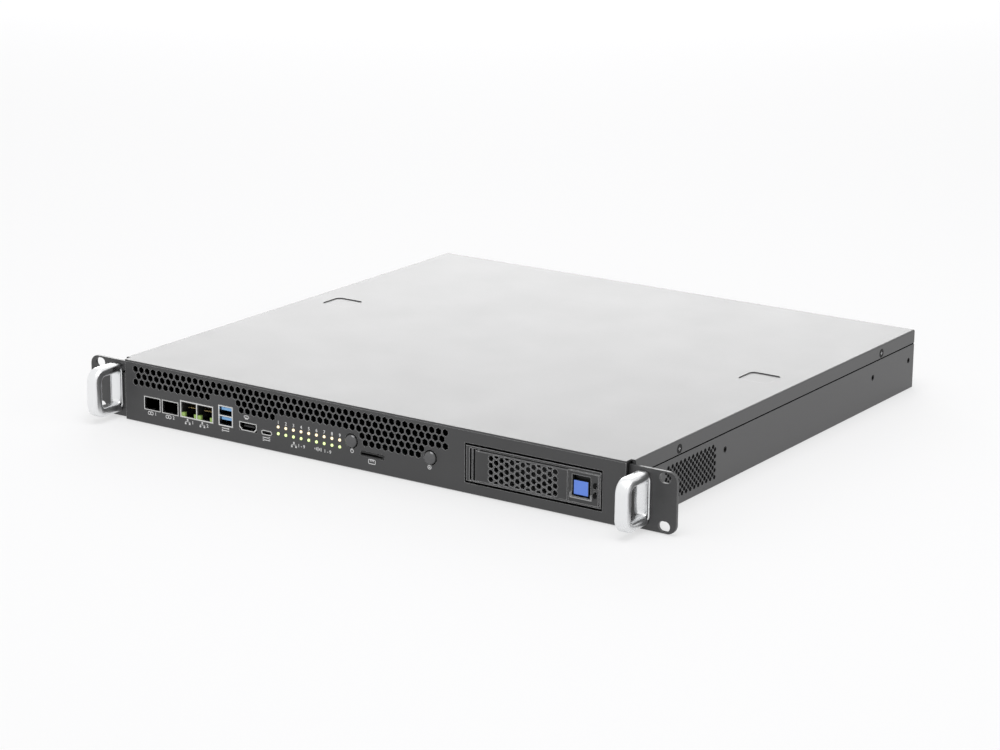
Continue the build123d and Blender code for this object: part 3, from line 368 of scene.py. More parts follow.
def blend_colours(tree, mask, first, second):
    """A colour between two, by a mask."""
    node = add(tree, "ShaderNodeMix", data_type="RGBA")
    tree.links.new(mask, node.inputs["Factor"])
    node.inputs["A"].default_value = (*first, 1)
    node.inputs["B"].default_value = (*second, 1)
    return node.outputs["Result"]


def shade_over(tree, mask, base, colour):
    """Lays a colour over another one where the mask is white."""
    node = add(tree, "ShaderNodeMix", data_type="RGBA")
    tree.links.new(mask, node.inputs["Factor"])
    tree.links.new(base, node.inputs["A"])
    node.inputs["B"].default_value = (*colour, 1)
    return node.outputs["Result"]


RECESS_START = 0.2 * MM
PAINTED_RECESS_SHADE = (0.006, 0.006, 0.006)


def paint_recess_shade(tree, colour, deep):
    """Painted shade in a recess: the colour goes nearly black over a depth behind the panel face."""
    sunk = use_group(tree, DEPTH, Front=FRONT + RECESS_START, Deep=FRONT + deep)
    return shade_over(tree, sunk.outputs["Depth"], colour, PAINTED_RECESS_SHADE)


def coated(
    name, dark, light, roughness, grain=1800.0, depth=0.12, edge=0.0004, spread=0.1, rim=None,
    deep=None, **shader
):
    """A coated or moulded surface: two close shades in clouds, grain, soft edges, a painted highlight on
    its rim, painted shade in recesses.
    """
    material, tree, bsdf = new_material(name)
    surface = use_group(
        tree, SURFACE, Grain_Scale=grain, Grain_Depth=depth, Edge_Radius=edge,
        Roughness=roughness, Spread=spread,
    )
    colour = blend_colours(tree, surface.outputs["Cloud"], dark, light)
    # painted highlight: a much lighter colour along the rounded edges
    if rim:
        colour = shade_over(tree, surface.outputs["Edge"], colour, rim)
    # painted shade: the colour darkens with depth behind the panel face
    if deep:
        colour = paint_recess_shade(tree, colour, deep)
    tree.links.new(colour, bsdf.inputs["Base Color"])
    tree.links.new(surface.outputs["Roughness"], bsdf.inputs["Roughness"])
    tree.links.new(surface.outputs["Normal"], bsdf.inputs["Normal"])
    for key, value in shader.items():
        bsdf.inputs[key.replace("_", " ")].default_value = value
    return material


def drawn_metal(
    name, dark, light, smoothest, roughest, fineness=900.0, depth=0.15, edge=0.0004, deep=None
):
    """Metal with fine lines that change its colour and gloss."""
    material, tree, bsdf = new_material(name)
    lines = use_group(tree, DRAWN, Fineness=fineness, Depth=depth, Edge_Radius=edge)
    colour = blend_colours(tree, lines.outputs["Line"], dark, light)
    # painted shade: the colour darkens with depth behind the panel face
    if deep:
        colour = paint_recess_shade(tree, colour, deep)
    tree.links.new(colour, bsdf.inputs["Base Color"])
    gloss = remap(tree, lines.outputs["Line"], NOISE_LOW, NOISE_HIGH, smoothest, roughest)
    tree.links.new(gloss, bsdf.inputs["Roughness"])
    tree.links.new(lines.outputs["Normal"], bsdf.inputs["Normal"])
    bsdf.inputs["Metallic"].default_value = 1.0
    return material


def galvanised(name, dark, light):
    """Zinc-coated sheet with its crystal pattern."""
    material, tree, bsdf = new_material(name)
    spangle = use_group(tree, SPANGLE)
    tree.links.new(blend_colours(tree, spangle.outputs["Shade"], dark, light), bsdf.inputs["Base Color"])
    tree.links.new(remap(tree, spangle.outputs["Shade"], 0.0, 1.0, 0.3, 0.5), bsdf.inputs["Roughness"])
    bsdf.inputs["Metallic"].default_value = 1.0
    return material


def lit(name, edge_colour, core_colour, strength):
    """A lit lamp: brighter in its middle than at its rim."""
    material, tree, bsdf = new_material(name)
    facing = add(tree, "ShaderNodeLayerWeight")
    facing.inputs["Blend"].default_value = 0.35
    colour = blend_colours(tree, facing.outputs["Facing"], core_colour, edge_colour)
    tree.links.new(colour, bsdf.inputs["Base Color"])
    tree.links.new(colour, bsdf.inputs["Emission Color"])
    bsdf.inputs["Emission Strength"].default_value = strength
    bsdf.inputs["Roughness"].default_value = 0.25
    return material


def printed(name, colour):
    """Screen print: matt, slightly uneven ink."""
    return coated(name, tuple(0.9 * c for c in colour), colour, 0.6, grain=4000.0, depth=0.05, edge=0.0)


# %% The finishes of this server
# rim: a painted highlight on the edges of the case
CASE = coated(
    "case_coat", (0.034, 0.034, 0.035), (0.040, 0.040, 0.041), 0.42, spread=0.03,
    rim=(0.16, 0.16, 0.163), Coat_Weight=0.3, Coat_Roughness=0.3,
)
# A little darker than case_coat, as painted shade on the front face; rim: a painted highlight round the
# honeycomb; deep: painted shade in the cells.
PANEL = coated(
    "panel_coat", (0.030, 0.030, 0.031), (0.036, 0.036, 0.037), 0.42, spread=0.03,
    rim=(0.50, 0.50, 0.505), deep=1.3 * MM, Coat_Weight=0.3, Coat_Roughness=0.3,
)
# deep: painted shade, the inside of each port shell goes nearly black
PLATED = drawn_metal(
    "port_plating", (0.62, 0.62, 0.61), (0.80, 0.80, 0.79), 0.22, 0.36, fineness=1500.0, deep=3.5 * MM
)
HANDLE = coated(
    "handle_satin", (0.80, 0.81, 0.82), (0.86, 0.865, 0.87), 0.3, grain=3200.0, depth=0.02, edge=0.0006,
    spread=0.08, Metallic=1.0,
)
ZINC = galvanised("galvanised_sheet", (0.52, 0.53, 0.55), (0.70, 0.71, 0.72))
DARK_SHEET = coated("phosphated_sheet", (0.020, 0.020, 0.021), (0.034, 0.034, 0.035), 0.5, Metallic=0.6)
SCREW = drawn_metal("screw_zinc", (0.45, 0.45, 0.46), (0.62, 0.62, 0.63), 0.25, 0.4, fineness=2500.0)
BLACK_SCREW = coated(
    "screw_black_oxide", (0.003, 0.003, 0.003), (0.006, 0.006, 0.006), 0.38, edge=0.0002,
    Specular_IOR_Level=0.12,
)
BLACK = coated("black_moulding", (0.010, 0.010, 0.010), (0.018, 0.018, 0.018), 0.5, grain=2600.0)
# painted shade: a near black strip stands in for the shade in the seam
SEAM_SHADE = coated(
    "seam_painted_shade", (0.003, 0.003, 0.003), (0.007, 0.007, 0.007), 0.9, grain=5200.0, depth=0.3,
    Specular_IOR_Level=0.05,
)
# rim: a painted highlight on the edges; deep: painted shade in the bezel's recess
TRAY = coated(
    "tray_moulding", (0.032, 0.032, 0.033), (0.042, 0.042, 0.043), 0.36, grain=2600.0, depth=0.16,
    edge=0.0006, rim=(0.62, 0.62, 0.625), deep=2.8 * MM,
)
BUTTON = coated(
    "button_cap", (0.11, 0.11, 0.112), (0.14, 0.14, 0.142), 0.24, grain=3000.0, depth=0.03, Metallic=1.0,
)
PAD_BLUE = (0.13, 0.27, 0.85)
PAD_MARGIN = {"X": 1.25 * MM, "Z": 0.8 * MM}
PAD_DEPTH = 0.4 * MM
PAD_EDGE = 0.1 * MM


def two_shot(name, node):
    """The release button is moulded in two shots, a blue pad set in the face of a black cap."""
    material = coated(name, (0.008, 0.008, 0.008), (0.014, 0.014, 0.014), 0.36, edge=0.0003)
    tree, bsdf = material.node_tree, material.node_tree.nodes["Principled BSDF"]
    low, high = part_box(node)
    place = add(tree, "ShaderNodeSeparateXYZ")
    tree.links.new(add(tree, "ShaderNodeTexCoord").outputs["Object"], place.inputs["Vector"])
    pad = remap(tree, place.outputs["Y"], low.y + PAD_DEPTH + PAD_EDGE, low.y + PAD_DEPTH, 0.0, 1.0)
    for axis, first, last in (("X", low.x, high.x), ("Z", low.z, high.z)):
        off = calc(tree, "ABSOLUTE", calc(tree, "SUBTRACT", place.outputs[axis], (first + last) / 2), 0.0)
        reach = (last - first) / 2 - PAD_MARGIN[axis]
        pad = calc(tree, "MINIMUM", pad, remap(tree, off, reach + PAD_EDGE, reach, 0.0, 1.0))
    body = bsdf.inputs["Base Color"].links[0].from_socket
    tree.links.new(shade_over(tree, pad, body, PAD_BLUE), bsdf.inputs["Base Color"])
    return material


BLUE = two_shot("release_button_plastic", "release_button")
# painted highlight: the lip is light grey, where the tray's plastic is near black
LIP = coated("pad_lip", (0.34, 0.34, 0.34), (0.40, 0.40, 0.40), 0.35, grain=2600.0, edge=0.0003)
TONGUE = coated("tongue_blue", (0.20, 0.46, 0.84), (0.26, 0.54, 0.92), 0.35, grain=3000.0)
BOARD = coated("board_mask", (0.004, 0.012, 0.009), (0.006, 0.018, 0.013), 0.35, grain=900.0)
CHIP = coated("chip_moulding", (0.010, 0.010, 0.011), (0.018, 0.018, 0.019), 0.5, grain=5000.0)
COOLER = drawn_metal("black_anodised", (0.018, 0.018, 0.019), (0.030, 0.030, 0.031), 0.35, 0.5)
CAST = coated(
    "drive_casting", (0.035, 0.035, 0.036), (0.055, 0.055, 0.056), 0.45, grain=900.0, Metallic=1.0
)
GOLD = drawn_metal("contact_gold", (0.80, 0.60, 0.25), (0.95, 0.76, 0.38), 0.2, 0.3, fineness=3000.0)
AMBER_LIT = lit("lamp_amber", (0.90, 0.62, 0.25), (1.0, 0.90, 0.66), 0.8)
GREEN_LIT = lit("lamp_green", (0.50, 0.78, 0.18), (0.84, 1.0, 0.46), 0.8)
LINK_GREEN = lit("link_lamp_green", (0.22, 0.34, 0.08), (0.34, 0.50, 0.14), 0.16)
DARK_LENS = coated(
    "pipe_lens", (0.002, 0.002, 0.002), (0.004, 0.004, 0.004), 0.3, grain=3000.0, edge=0.0,
    Specular_IOR_Level=0.1,
)
INK = printed("white_print", (0.86, 0.86, 0.86))
print("materials:", len(bpy.data.materials))

# %% Give every CAD node its finish
FINISHES = {
    CASE: ["chassis_base", "top_cover", "rear_panel", "ear_right", "ear_left"],
    PANEL: ["front_panel"],
    PLATED: [
        "lan_jack_shell", "data_port_shell", "video_port_shell", "small_port_shell",
        "fibre_cage_left", "fibre_cage_right",
    ],
    HANDLE: ["handle_right", "handle_left"],
    ZINC: ["psu_case"],
    DARK_SHEET: ["drive_cage", "tray_frame", "fan_channel"],
    SCREW: ["lever_pin"],
    BLACK_SCREW: ["cover_screws", "ear_screws", "handle_screws", "side_inserts"],
    BLACK: [
        "lan_jack_insert", "contact_tongues", "card_socket", "lamp_holder", "button_switches",
        "backplane_plug", "module_sockets", "psu_inlet", "psu_fan_frame", "psu_fan_rotor",
        *(f"fan_frame_{i}" for i in range(1, 5)), *(f"fan_rotor_{i}" for i in range(1, 5)),
    ],
    TRAY: ["tray_bezel", "tray_lever"],
    BUTTON: ["button_left", "button_right"],
    BLUE: ["release_button"],
    TONGUE: ["data_port_tongues"],
    BOARD: ["mainboard", "drive_backplane", "compute_modules"],
    CHIP: ["main_chip"],
    COOLER: ["main_cooler", "module_heatsinks"],
    CAST: ["hard_drive"],
    GOLD: ["board_standoffs", "inlet_pins"],
    AMBER_LIT: ["lamp_lenses_upper"],
    GREEN_LIT: ["lamp_lenses_lower"],
    LINK_GREEN: ["lan_jack_lamps"],
    DARK_LENS: ["tray_light_pipes"],
}
for finish, names in FINISHES.items():
    for node_name in names:
        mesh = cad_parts[node_name].data
        mesh.materials.clear()
        mesh.materials.append(finish)
dressed = {name for names in FINISHES.values() for name in names}
print("nodes without a finish:", sorted(set(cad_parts) - dressed))

# %% [markdown]
# ## Pull handles
# Each handle is one casting: a square bar bent round a finger gap, with a foot plate on the ear.
# A box whose front corners are rounded, with a box cut out of it and a bevel over all sharp edges,
# gives the soft satin loop. CAD fixes its size, so the numbers are read from the node's box.

# %% Model the right handle and mirror it
GRIP = 8.0 * MM
ARM = 6.4 * MM
FOOT = 1.8 * MM
FOOT_HEIGHT = 31.0 * MM
FOOT_CORNER = 4.0 * MM
FOOT_EDGE = 0.5 * MM
LOOP_CORNER = 9.5 * MM
GAP_CORNER = 3.6 * MM
BAR_EDGE = 2.2 * MM
BAR_WIDTH = 9.0 * MM
OVERLAP = 0.3 * MM


def select_edges(piece, wanted):
    """Edit mode with only the edges selected whose middle passes the test."""
    clear_selection()
    piece.select_set(True)
    bpy.context.view_layer.objects.active = piece
    bpy.ops.object.mode_set(mode="EDIT")
    bpy.ops.mesh.select_all(action="DESELECT")
    bpy.ops.mesh.select_mode(type="EDGE")
    bpy.ops.object.mode_set(mode="OBJECT")
    vertices = piece.data.vertices
    for edge in piece.data.edges:
        a, b = (vertices[i].co for i in edge.vertices)
        edge.select = wanted((a + b) / 2, b - a)
    bpy.ops.object.mode_set(mode="EDIT")


def bevel_selected(width, segments):
    """Rounds the selected edges and leaves edit mode."""
    bpy.ops.mesh.bevel(offset=width, segments=segments, affect="EDGES")
    bpy.ops.object.mode_set(mode="OBJECT")


def along_x_in(low_y, high_y):
    """A test for edges along X whose middle lies between two depths."""
    return lambda middle, run: abs(run.x) > abs(run.y) + abs(run.z) and low_y < middle.y < high_y


def handle_piece(node):
    """The loop and its foot, from the box of the CAD handle."""
    low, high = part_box(node)
    middle = (low.x + high.x) / 2
    loop = add_block((middle - BAR_WIDTH / 2, low.y, low.z), (middle + BAR_WIDTH / 2, high.y, high.z))
    select_edges(loop, along_x_in(low.y - GRIP, low.y + GRIP))
    bevel_selected(LOOP_CORNER, 10)
    gap = add_block(
        (middle - BAR_WIDTH, low.y + GRIP, low.z + ARM),
        (middle + BAR_WIDTH, high.y - FOOT + OVERLAP, high.z - ARM),
    )
    select_edges(gap, along_x_in(low.y, high.y))
    bevel_selected(GAP_CORNER, 8)
    loop = cut(loop, gap)
    round_edges(loop, BAR_EDGE, 5, 50)
    centre = (low.z + high.z) / 2
    half = FOOT_HEIGHT / 2
    foot = add_block((low.x, high.y - FOOT, centre - half), (high.x, high.y, centre + half))
    select_edges(foot, lambda middle_point, run: abs(run.y) > abs(run.x) + abs(run.z))
    bevel_selected(FOOT_CORNER, 8)
    round_edges(foot, FOOT_EDGE, 3, 50)
    return smooth(join([loop, foot]), 40)


right_handle = handle_piece("handle_right")
left_handle = mirrored(right_handle, "pull_handle_left")
hand_over(right_handle, "pull_handle_right", "case", HANDLE, ["handle_right"])
hand_over(left_handle, "pull_handle_left", "case", HANDLE, ["handle_left"])
print("handle faces:", len(right_handle.data.polygons))

# %% [markdown]
# ## Status lamps
# Each lamp is a clear rod with a domed tip. One is modelled, rounded at its front rim, and copied
# along the row.

# %% Lamp rows
LAMP_COUNT = 9
LAMP_R = 1.05 * MM
LAMP_DOME = 0.45 * MM
LAMP_RIM = 0.6 * MM


def lamp_row(node, name, material):
    """Domed lamps in place of a row of CAD lenses."""
    low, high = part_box(node)
    z = (low.z + high.z) / 2
    first, last = low.x + LAMP_R, high.x - LAMP_R
    step = (last - first) / (LAMP_COUNT - 1)
    start, end = low.y - LAMP_DOME, high.y
    lamp = add_rod((first, (start + end) / 2, z), LAMP_R, end - start, 20)
    select_edges(lamp, lambda middle, run: middle.y < start + LAMP_DOME and abs(run.y) < LAMP_DOME / 10)
    bevel_selected(LAMP_RIM, 4)
    lamps = [lamp] + [copy_at(lamp, (i * step, 0, 0)) for i in range(1, LAMP_COUNT)]
    return hand_over(smooth(join(lamps), 60), name, "case", material, [node])


upper_lamps = lamp_row("lamp_lenses_upper", "lamps_upper", AMBER_LIT)
lower_lamps = lamp_row("lamp_lenses_lower", "lamps_lower", GREEN_LIT)
print("lamp faces:", len(upper_lamps.data.polygons) + len(lower_lamps.data.polygons))

# %% [markdown]
# ## Push buttons
# A push button is a turned metal cap with a wide rounded rim, which catches the light of the lamps.
# A flange behind the panel keeps it from falling out, and a stem reaches its switch. Three rods are
# enough, and only the front rim of the first is rounded.

# %% Push buttons with a rounded rim
BUTTON_RIM = 3.0 * MM
FLANGE = 1.0 * MM
FLANGE_STEP = 1.1 * MM
CAP_LENGTH = 5.5 * MM
STEM_R = 1.6 * MM


def button_cap(node, name, body):
    """A cap whose front rim is rounded, with its flange and stem, in place of a CAD button."""
    low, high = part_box(node)
    x, z, flange_radius = (low.x + high.x) / 2, (low.z + high.z) / 2, (high.z - low.z) / 2
    flange_end = low.y + CAP_LENGTH + FLANGE
    cap = add_rod((x, low.y + CAP_LENGTH / 2, z), flange_radius - FLANGE_STEP, CAP_LENGTH, 40)
    select_edges(
        cap, lambda middle, run: middle.y < low.y + BUTTON_RIM / 2 and abs(run.y) < BUTTON_RIM / 10
    )
    bevel_selected(BUTTON_RIM, 8)
    flange = add_rod((x, flange_end - FLANGE / 2 - OVERLAP / 2, z), flange_radius, FLANGE + OVERLAP, 40)
    stem = add_rod((x, (flange_end + high.y) / 2, z), STEM_R, high.y - flange_end + OVERLAP, 20)
    return hand_over(smooth(join([cap, flange, stem]), 50), name, body, BUTTON, [node])


left_button = button_cap("button_left", "button_cap_left", "left_button")
right_button = button_cap("button_right", "button_cap_right", "right_button")
print("button faces:", len(left_button.data.polygons) + len(right_button.data.polygons))

# %% [markdown]
# ## Numbers over the lamps
# The digits are text made into meshes, because printed ink has an edge.

# %% Numbers over the lamps
INK_DEPTH = 0.04 * MM
BOLDER = 0.05 * MM
DIGIT_HEIGHT = 2.3 * MM
DIGIT_RISE = 1.2 * MM
CAPITAL_SHARE = 0.7           # height of a digit as a share of the text size


def front_text(words, x, z, height):
    """Printed characters on the panel face, centred on x, with their foot at z."""
    clear_selection()
    bpy.ops.object.text_add(location=(x, FRONT, z), rotation=(math.pi / 2, 0, 0))
    text = bpy.context.object
    text.data.body = words
    text.data.align_x = "CENTER"
    text.data.size = height / CAPITAL_SHARE
    text.data.extrude = INK_DEPTH
    text.data.offset = BOLDER
    text.data.resolution_u = 3
    bpy.ops.object.convert(target="MESH")
    return settle()


low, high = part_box("lamp_lenses_upper")
lamp_step = (high.x - low.x - 2 * LAMP_R) / (LAMP_COUNT - 1)
digits = [
    front_text(str(i + 1), low.x + LAMP_R + i * lamp_step, high.z + DIGIT_RISE, DIGIT_HEIGHT)
    for i in range(LAMP_COUNT)
]
numbers = join(digits)
hand_over(numbers, "lamp_numbers", "case", INK)
print("digit faces:", len(numbers.data.polygons))

# %% [markdown]
# ## Printed symbols
# Each port and button has a small mark in white ink below it. They are plain signs: two linked
# rings for a light guide, three joined boxes for a network, a screen, a card, a ring with a stroke
# for power. Bars and flat rings are enough for all of them, so each sign is a short list of those.

# %% Bars and rings of ink
LINE = 0.5 * MM
PANEL_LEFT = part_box("front_panel")[0].x


def ink_bar(x, z, width, height):
    """A flat bar on the panel face, centred on x and z."""
    reach = Vector((width / 2, INK_DEPTH, height / 2))
    return add_block(Vector((x, FRONT, z)) - reach, Vector((x, FRONT, z)) + reach)


def ink_ring(x, z, radius):
    """A flat ring on the panel face."""
    clear_selection()
    bpy.ops.mesh.primitive_torus_add(
        major_segments=20, minor_segments=4, major_radius=radius, minor_radius=LINE / 2,
        location=(x, FRONT, z), rotation=(math.pi / 2, 0, 0),
    )
    bpy.context.object.scale.z = 2 * INK_DEPTH / LINE
    return settle()


def ink_frame(x, z, width, height):
    """The outline of a rectangle, from four bars."""
    return [
        ink_bar(x, z + (height - LINE) / 2, width, LINE), ink_bar(x, z - (height - LINE) / 2, width, LINE),
        ink_bar(x - (width - LINE) / 2, z, LINE, height), ink_bar(x + (width - LINE) / 2, z, LINE, height),
    ]


# %% The signs
def network_sign(x, z):
    """One box above two, joined by a line."""
    box, rise, side = 1.35 * MM, 1.3 * MM, 1.8 * MM
    return [
        ink_bar(x, z + rise, box, box),
        ink_bar(x - side, z - rise, box, box),
        ink_bar(x + side, z - rise, box, box),
        ink_bar(x, z, 2 * side + LINE, LINE / 2),
        ink_bar(x, z + rise / 2, LINE / 2, rise),
        ink_bar(x - side, z - rise / 2, LINE / 2, rise),
        ink_bar(x + side, z - rise / 2, LINE / 2, rise),
    ]


def light_guide_sign(x, z):
    """Two rings side by side, for the two fibres of a link."""
    ring = 1.15 * MM
    return [ink_ring(x - ring, z, ring), ink_ring(x + ring, z, ring)]


def arrows_sign(x, z):
    """Two strokes with heads that point opposite ways, for a data port."""
    length, rise, head = 6.4 * MM, 0.85 * MM, 1.1 * MM
    return [
        ink_bar(x, z + rise, length, LINE), ink_bar(x, z - rise, length, LINE),
        ink_bar(x + (length - head) / 2, z + rise, head, head * 1.4),
        ink_bar(x - (length - head) / 2, z - rise, head, head * 1.4),
    ]


def screen_sign(x, z):
    """A screen on its foot."""
    return ink_frame(x, z + 0.3 * MM, 4.4 * MM, 2.1 * MM) + [ink_bar(x, z - 1.1 * MM, 2.6 * MM, LINE)]


def power_sign(x, z):
    """A ring with a stroke through its top."""
    return [ink_ring(x, z, 1.2 * MM), ink_bar(x, z + 1.2 * MM, LINE, 1.5 * MM)]


def restart_sign(x, z):
    """A ring round a dot."""
    return [ink_ring(x, z, 1.3 * MM), ink_bar(x, z, 0.9 * MM, 0.9 * MM)]


def activity_sign(x, z):
    """Five bars of different heights, for work going on."""
    heights = (0.8, 1.6, 2.4, 1.2, 2.0)
    step, width, tall = 1.3 * MM, 1.3 * LINE, 1.2 * MM
    return [ink_bar(x + (i - 2) * step, z, width, tall * height) for i, height in enumerate(heights)]


def card_sign(x, z):
    """A card with its contacts."""
    return ink_frame(x, z, 6.0 * MM, 3.4 * MM) + [
        ink_bar(x + i * 1.2 * MM, z + 0.6 * MM, LINE, 1.0 * MM) for i in (-1, 0, 1)
    ]


SIGNS = (                     # sign, millimetres from the panel's left end, height
    (light_guide_sign, 22.6, 7.9), (light_guide_sign, 38.9, 7.9),
    (network_sign, 56.2, 7.4), (network_sign, 69.4, 7.4),
    (arrows_sign, 90.0, 7.7), (screen_sign, 108.7, 19.6), (arrows_sign, 125.9, 7.3),
    (network_sign, 149.6, 7.4), (activity_sign, 170.1, 8.0),
    (power_sign, 198.7, 11.9), (card_sign, 215.2, 7.2), (restart_sign, 262.1, 12.1),
)
PORT_DIGITS = (
    ("1", 27.2, 6.9), ("2", 43.5, 6.9), ("1", 60.8, 6.4), ("2", 74.0, 6.4), ("1 - 9", 156.0, 6.4),
    ("1 - 9", 178.2, 6.6),
)
marks = [mark for sign, x, z in SIGNS for mark in sign(PANEL_LEFT + x * MM, z * MM)]
marks += [front_text(digit, PANEL_LEFT + x * MM, z * MM, DIGIT_HEIGHT) for digit, x, z in PORT_DIGITS]
symbols = join(marks)
hand_over(symbols, "port_symbols", "case", INK)
print("symbol faces:", len(symbols.data.polygons))

# %% [markdown]
# ## Screws
# The screws of the case are black, countersunk and driven by a cross. The recess is what one sees
# of a screw, so the head is a cone and its recess is cut by two crossed wedges. The driver has rubbed
# the black off there, so the faces of the recess are bare metal. A flat black ring round each head is
# painted shade of the countersunk dimple. One screw is made per size and copied to the corners of its CAD
# node.

# %% Model a countersunk screw
SHADE_RING_WIDTH = 0.7 * MM
CROSS_LENGTH, CROSS_WIDTH, CROSS_DEPTH = 1.3, 0.34, 0.75      # shares of the head's radius and depth
FOOT_LENGTH, FOOT_WIDTH = 0.45, 0.6                           # the recess narrows to these shares
BARE_RADIUS, BARE_DEPTH = 0.62, 0.9                           # bare metal inside these shares
SKIN = 0.01 * MM


def wedge(length, width, top, depth):
    """A bar that narrows downwards, below the height top."""
    bar = add_block((-length / 2, -width / 2, top - depth), (length / 2, width / 2, top + depth))
    for vertex in bar.data.vertices:
        if vertex.co.z < top:
            vertex.co.x *= FOOT_LENGTH
            vertex.co.y *= FOOT_WIDTH
    return bar


def dimple_shade_ring(radius):
    """A flat black ring round a countersunk head: painted shade of the dimple in the sheet."""
    clear_selection()
    bpy.ops.mesh.primitive_torus_add(
        major_segments=28, minor_segments=6, major_radius=radius + SHADE_RING_WIDTH / 2, minor_radius=SHADE_RING_WIDTH / 2
    )
    bpy.context.object.scale.z = 2 * INK_DEPTH / SHADE_RING_WIDTH
    ring = settle()
    ring.data.materials.append(BLACK_SCREW)
    return ring


def cross_screw(radius, shank, head_depth, length):
    """A countersunk screw whose head lies in the plane Z = 0 and faces up."""
    clear_selection()
    bpy.ops.mesh.primitive_cone_add(
        vertices=28, radius1=shank, radius2=radius, depth=head_depth, location=(0, 0, -head_depth / 2)
    )
    head = settle()
    for turn in (0.0, math.pi / 2):
        tool = wedge(CROSS_LENGTH * radius, CROSS_WIDTH * radius, 0.0, CROSS_DEPTH * head_depth)
        tool.data.transform(Matrix.Rotation(turn, 4, "Z"))
        head = cut(head, tool)
    head.data.materials.append(BLACK_SCREW)
    head.data.materials.append(SCREW)
    for polygon in head.data.polygons:
        across = math.hypot(polygon.center.x, polygon.center.y)
        inside = -BARE_DEPTH * head_depth < polygon.center.z < -SKIN
        polygon.material_index = int(inside and across < BARE_RADIUS * radius)
    rod = add_rod((0, 0, -(head_depth + length) / 2), shank, length - head_depth + OVERLAP, 16, "Z")
    rod.data.materials.append(BLACK_SCREW)
    return join([head, rod, dimple_shade_ring(radius)])


def corners_of(node, radius):
    """Depths and heights of the screws of a node, at the corners of its box."""
    low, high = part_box(node)
    ends = []
    for first, last in ((low.y, high.y), (low.z, high.z)):
        two = last - first > 3 * radius
        ends.append((first + radius, last - radius) if two else ((first + last) / 2,))
    return [(y, z) for y in ends[0] for z in ends[1]]


def place_screws(screw, places, name, node):
    """Copies of a screw at (place, turn) pairs, joined into one piece."""
    copies = []
    for place, turn in places:
        twin = copy_at(screw, (0, 0, 0))
        twin.data.transform(Matrix.Translation(Vector(place)) @ turn)
        copies.append(twin)
    bpy.data.objects.remove(screw)
    return hand_over(smooth(join(copies), 30), name, "case", None, [node])


# %% Place the screws of the side walls and behind the ears
SIDE_HEAD, BACK_HEAD = 2.6 * MM, 3.4 * MM
TO_RIGHT = Matrix.Rotation(math.pi / 2, 4, "Y")
TO_LEFT = Matrix.Rotation(-math.pi / 2, 4, "Y")
TO_BACK = Matrix.Rotation(-math.pi / 2, 4, "X")
for node, name in (("cover_screws", "cover_cross_screws"), ("ear_screws", "ear_cross_screws")):
    low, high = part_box(node)
    sides = ((high.x, TO_RIGHT), (low.x, TO_LEFT))
    places = [((x, y, z), turn) for y, z in corners_of(node, SIDE_HEAD) for x, turn in sides]
    screw = cross_screw(SIDE_HEAD, shank=1.3 * MM, head_depth=1.0 * MM, length=4.0 * MM)
    screws = place_screws(screw, places, name, node)
    print(name, "faces:", len(screws.data.polygons))

low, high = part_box("handle_screws")
heights = (low.z + BACK_HEAD, high.z - BACK_HEAD)
places = [((x, high.y, z), TO_BACK) for x in (low.x + BACK_HEAD, high.x - BACK_HEAD) for z in heights]
screw = cross_screw(BACK_HEAD, shank=1.9 * MM, head_depth=1.5 * MM, length=12.0 * MM)
screws = place_screws(screw, places, "handle_cross_screws", "handle_screws")
print("handle_cross_screws faces:", len(screws.data.polygons))

# %% [markdown]
# ## Lip and light pipes of the drive tray
# A raised lip runs round the lower half of the release button, so that a finger finds it. It is a
# block with a smaller one cut out of its top. The two light pipes end in black oval lenses, which
# are rods stretched upwards.

# %% Lip below the release button
LIP_GAP = 1.0 * MM
LIP_WIDTH = 0.7 * MM
LIP_RISE = 0.4 * MM
LIP_HEIGHT = 3.4 * MM
LIP_EDGE = 0.25 * MM
bezel_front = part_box("tray_bezel")[0].y
pad_low, pad_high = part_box("release_button")
outside = LIP_GAP + LIP_WIDTH
lip = add_block(
    (pad_low.x - outside, bezel_front - LIP_RISE, pad_low.z - outside),
    (pad_high.x + outside, bezel_front + OVERLAP, pad_low.z - outside + LIP_HEIGHT),
)
room = add_block(
    (pad_low.x - LIP_GAP, bezel_front - 2 * LIP_RISE, pad_low.z - LIP_GAP),
    (pad_high.x + LIP_GAP, bezel_front + 2 * OVERLAP, pad_low.z + 2 * LIP_HEIGHT),
)
lip = smooth(round_edges(cut(lip, room), LIP_EDGE, 3), 40)
hand_over(lip, "pad_lip", "drive_tray", LIP)
print("lip faces:", len(lip.data.polygons))

# %% Oval lenses of the light pipes
LENS_WIDTH, LENS_HEIGHT, LENS_THICK = 2.8 * MM, 3.8 * MM, 0.1 * MM
low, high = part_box("tray_light_pipes")
pipe_radius = (high.x - low.x) / 2
lenses = []
for z in (low.z + pipe_radius, high.z - pipe_radius):
    lens = add_rod(((low.x + high.x) / 2, bezel_front, z), LENS_WIDTH / 2, LENS_THICK, 24)
    for vertex in lens.data.vertices:
        vertex.co.z = z + (vertex.co.z - z) * LENS_HEIGHT / LENS_WIDTH
    lenses.append(lens)
hand_over(smooth(join(lenses)), "oval_lenses", "drive_tray", DARK_LENS)

# %% [markdown]
# ## Seam below the cover's flange
# The flange stops just above the step of the side wall. A thin black strip in the gap is painted shade,
# so the seam reads as a black line. The strip is a long bar with rounded long edges.

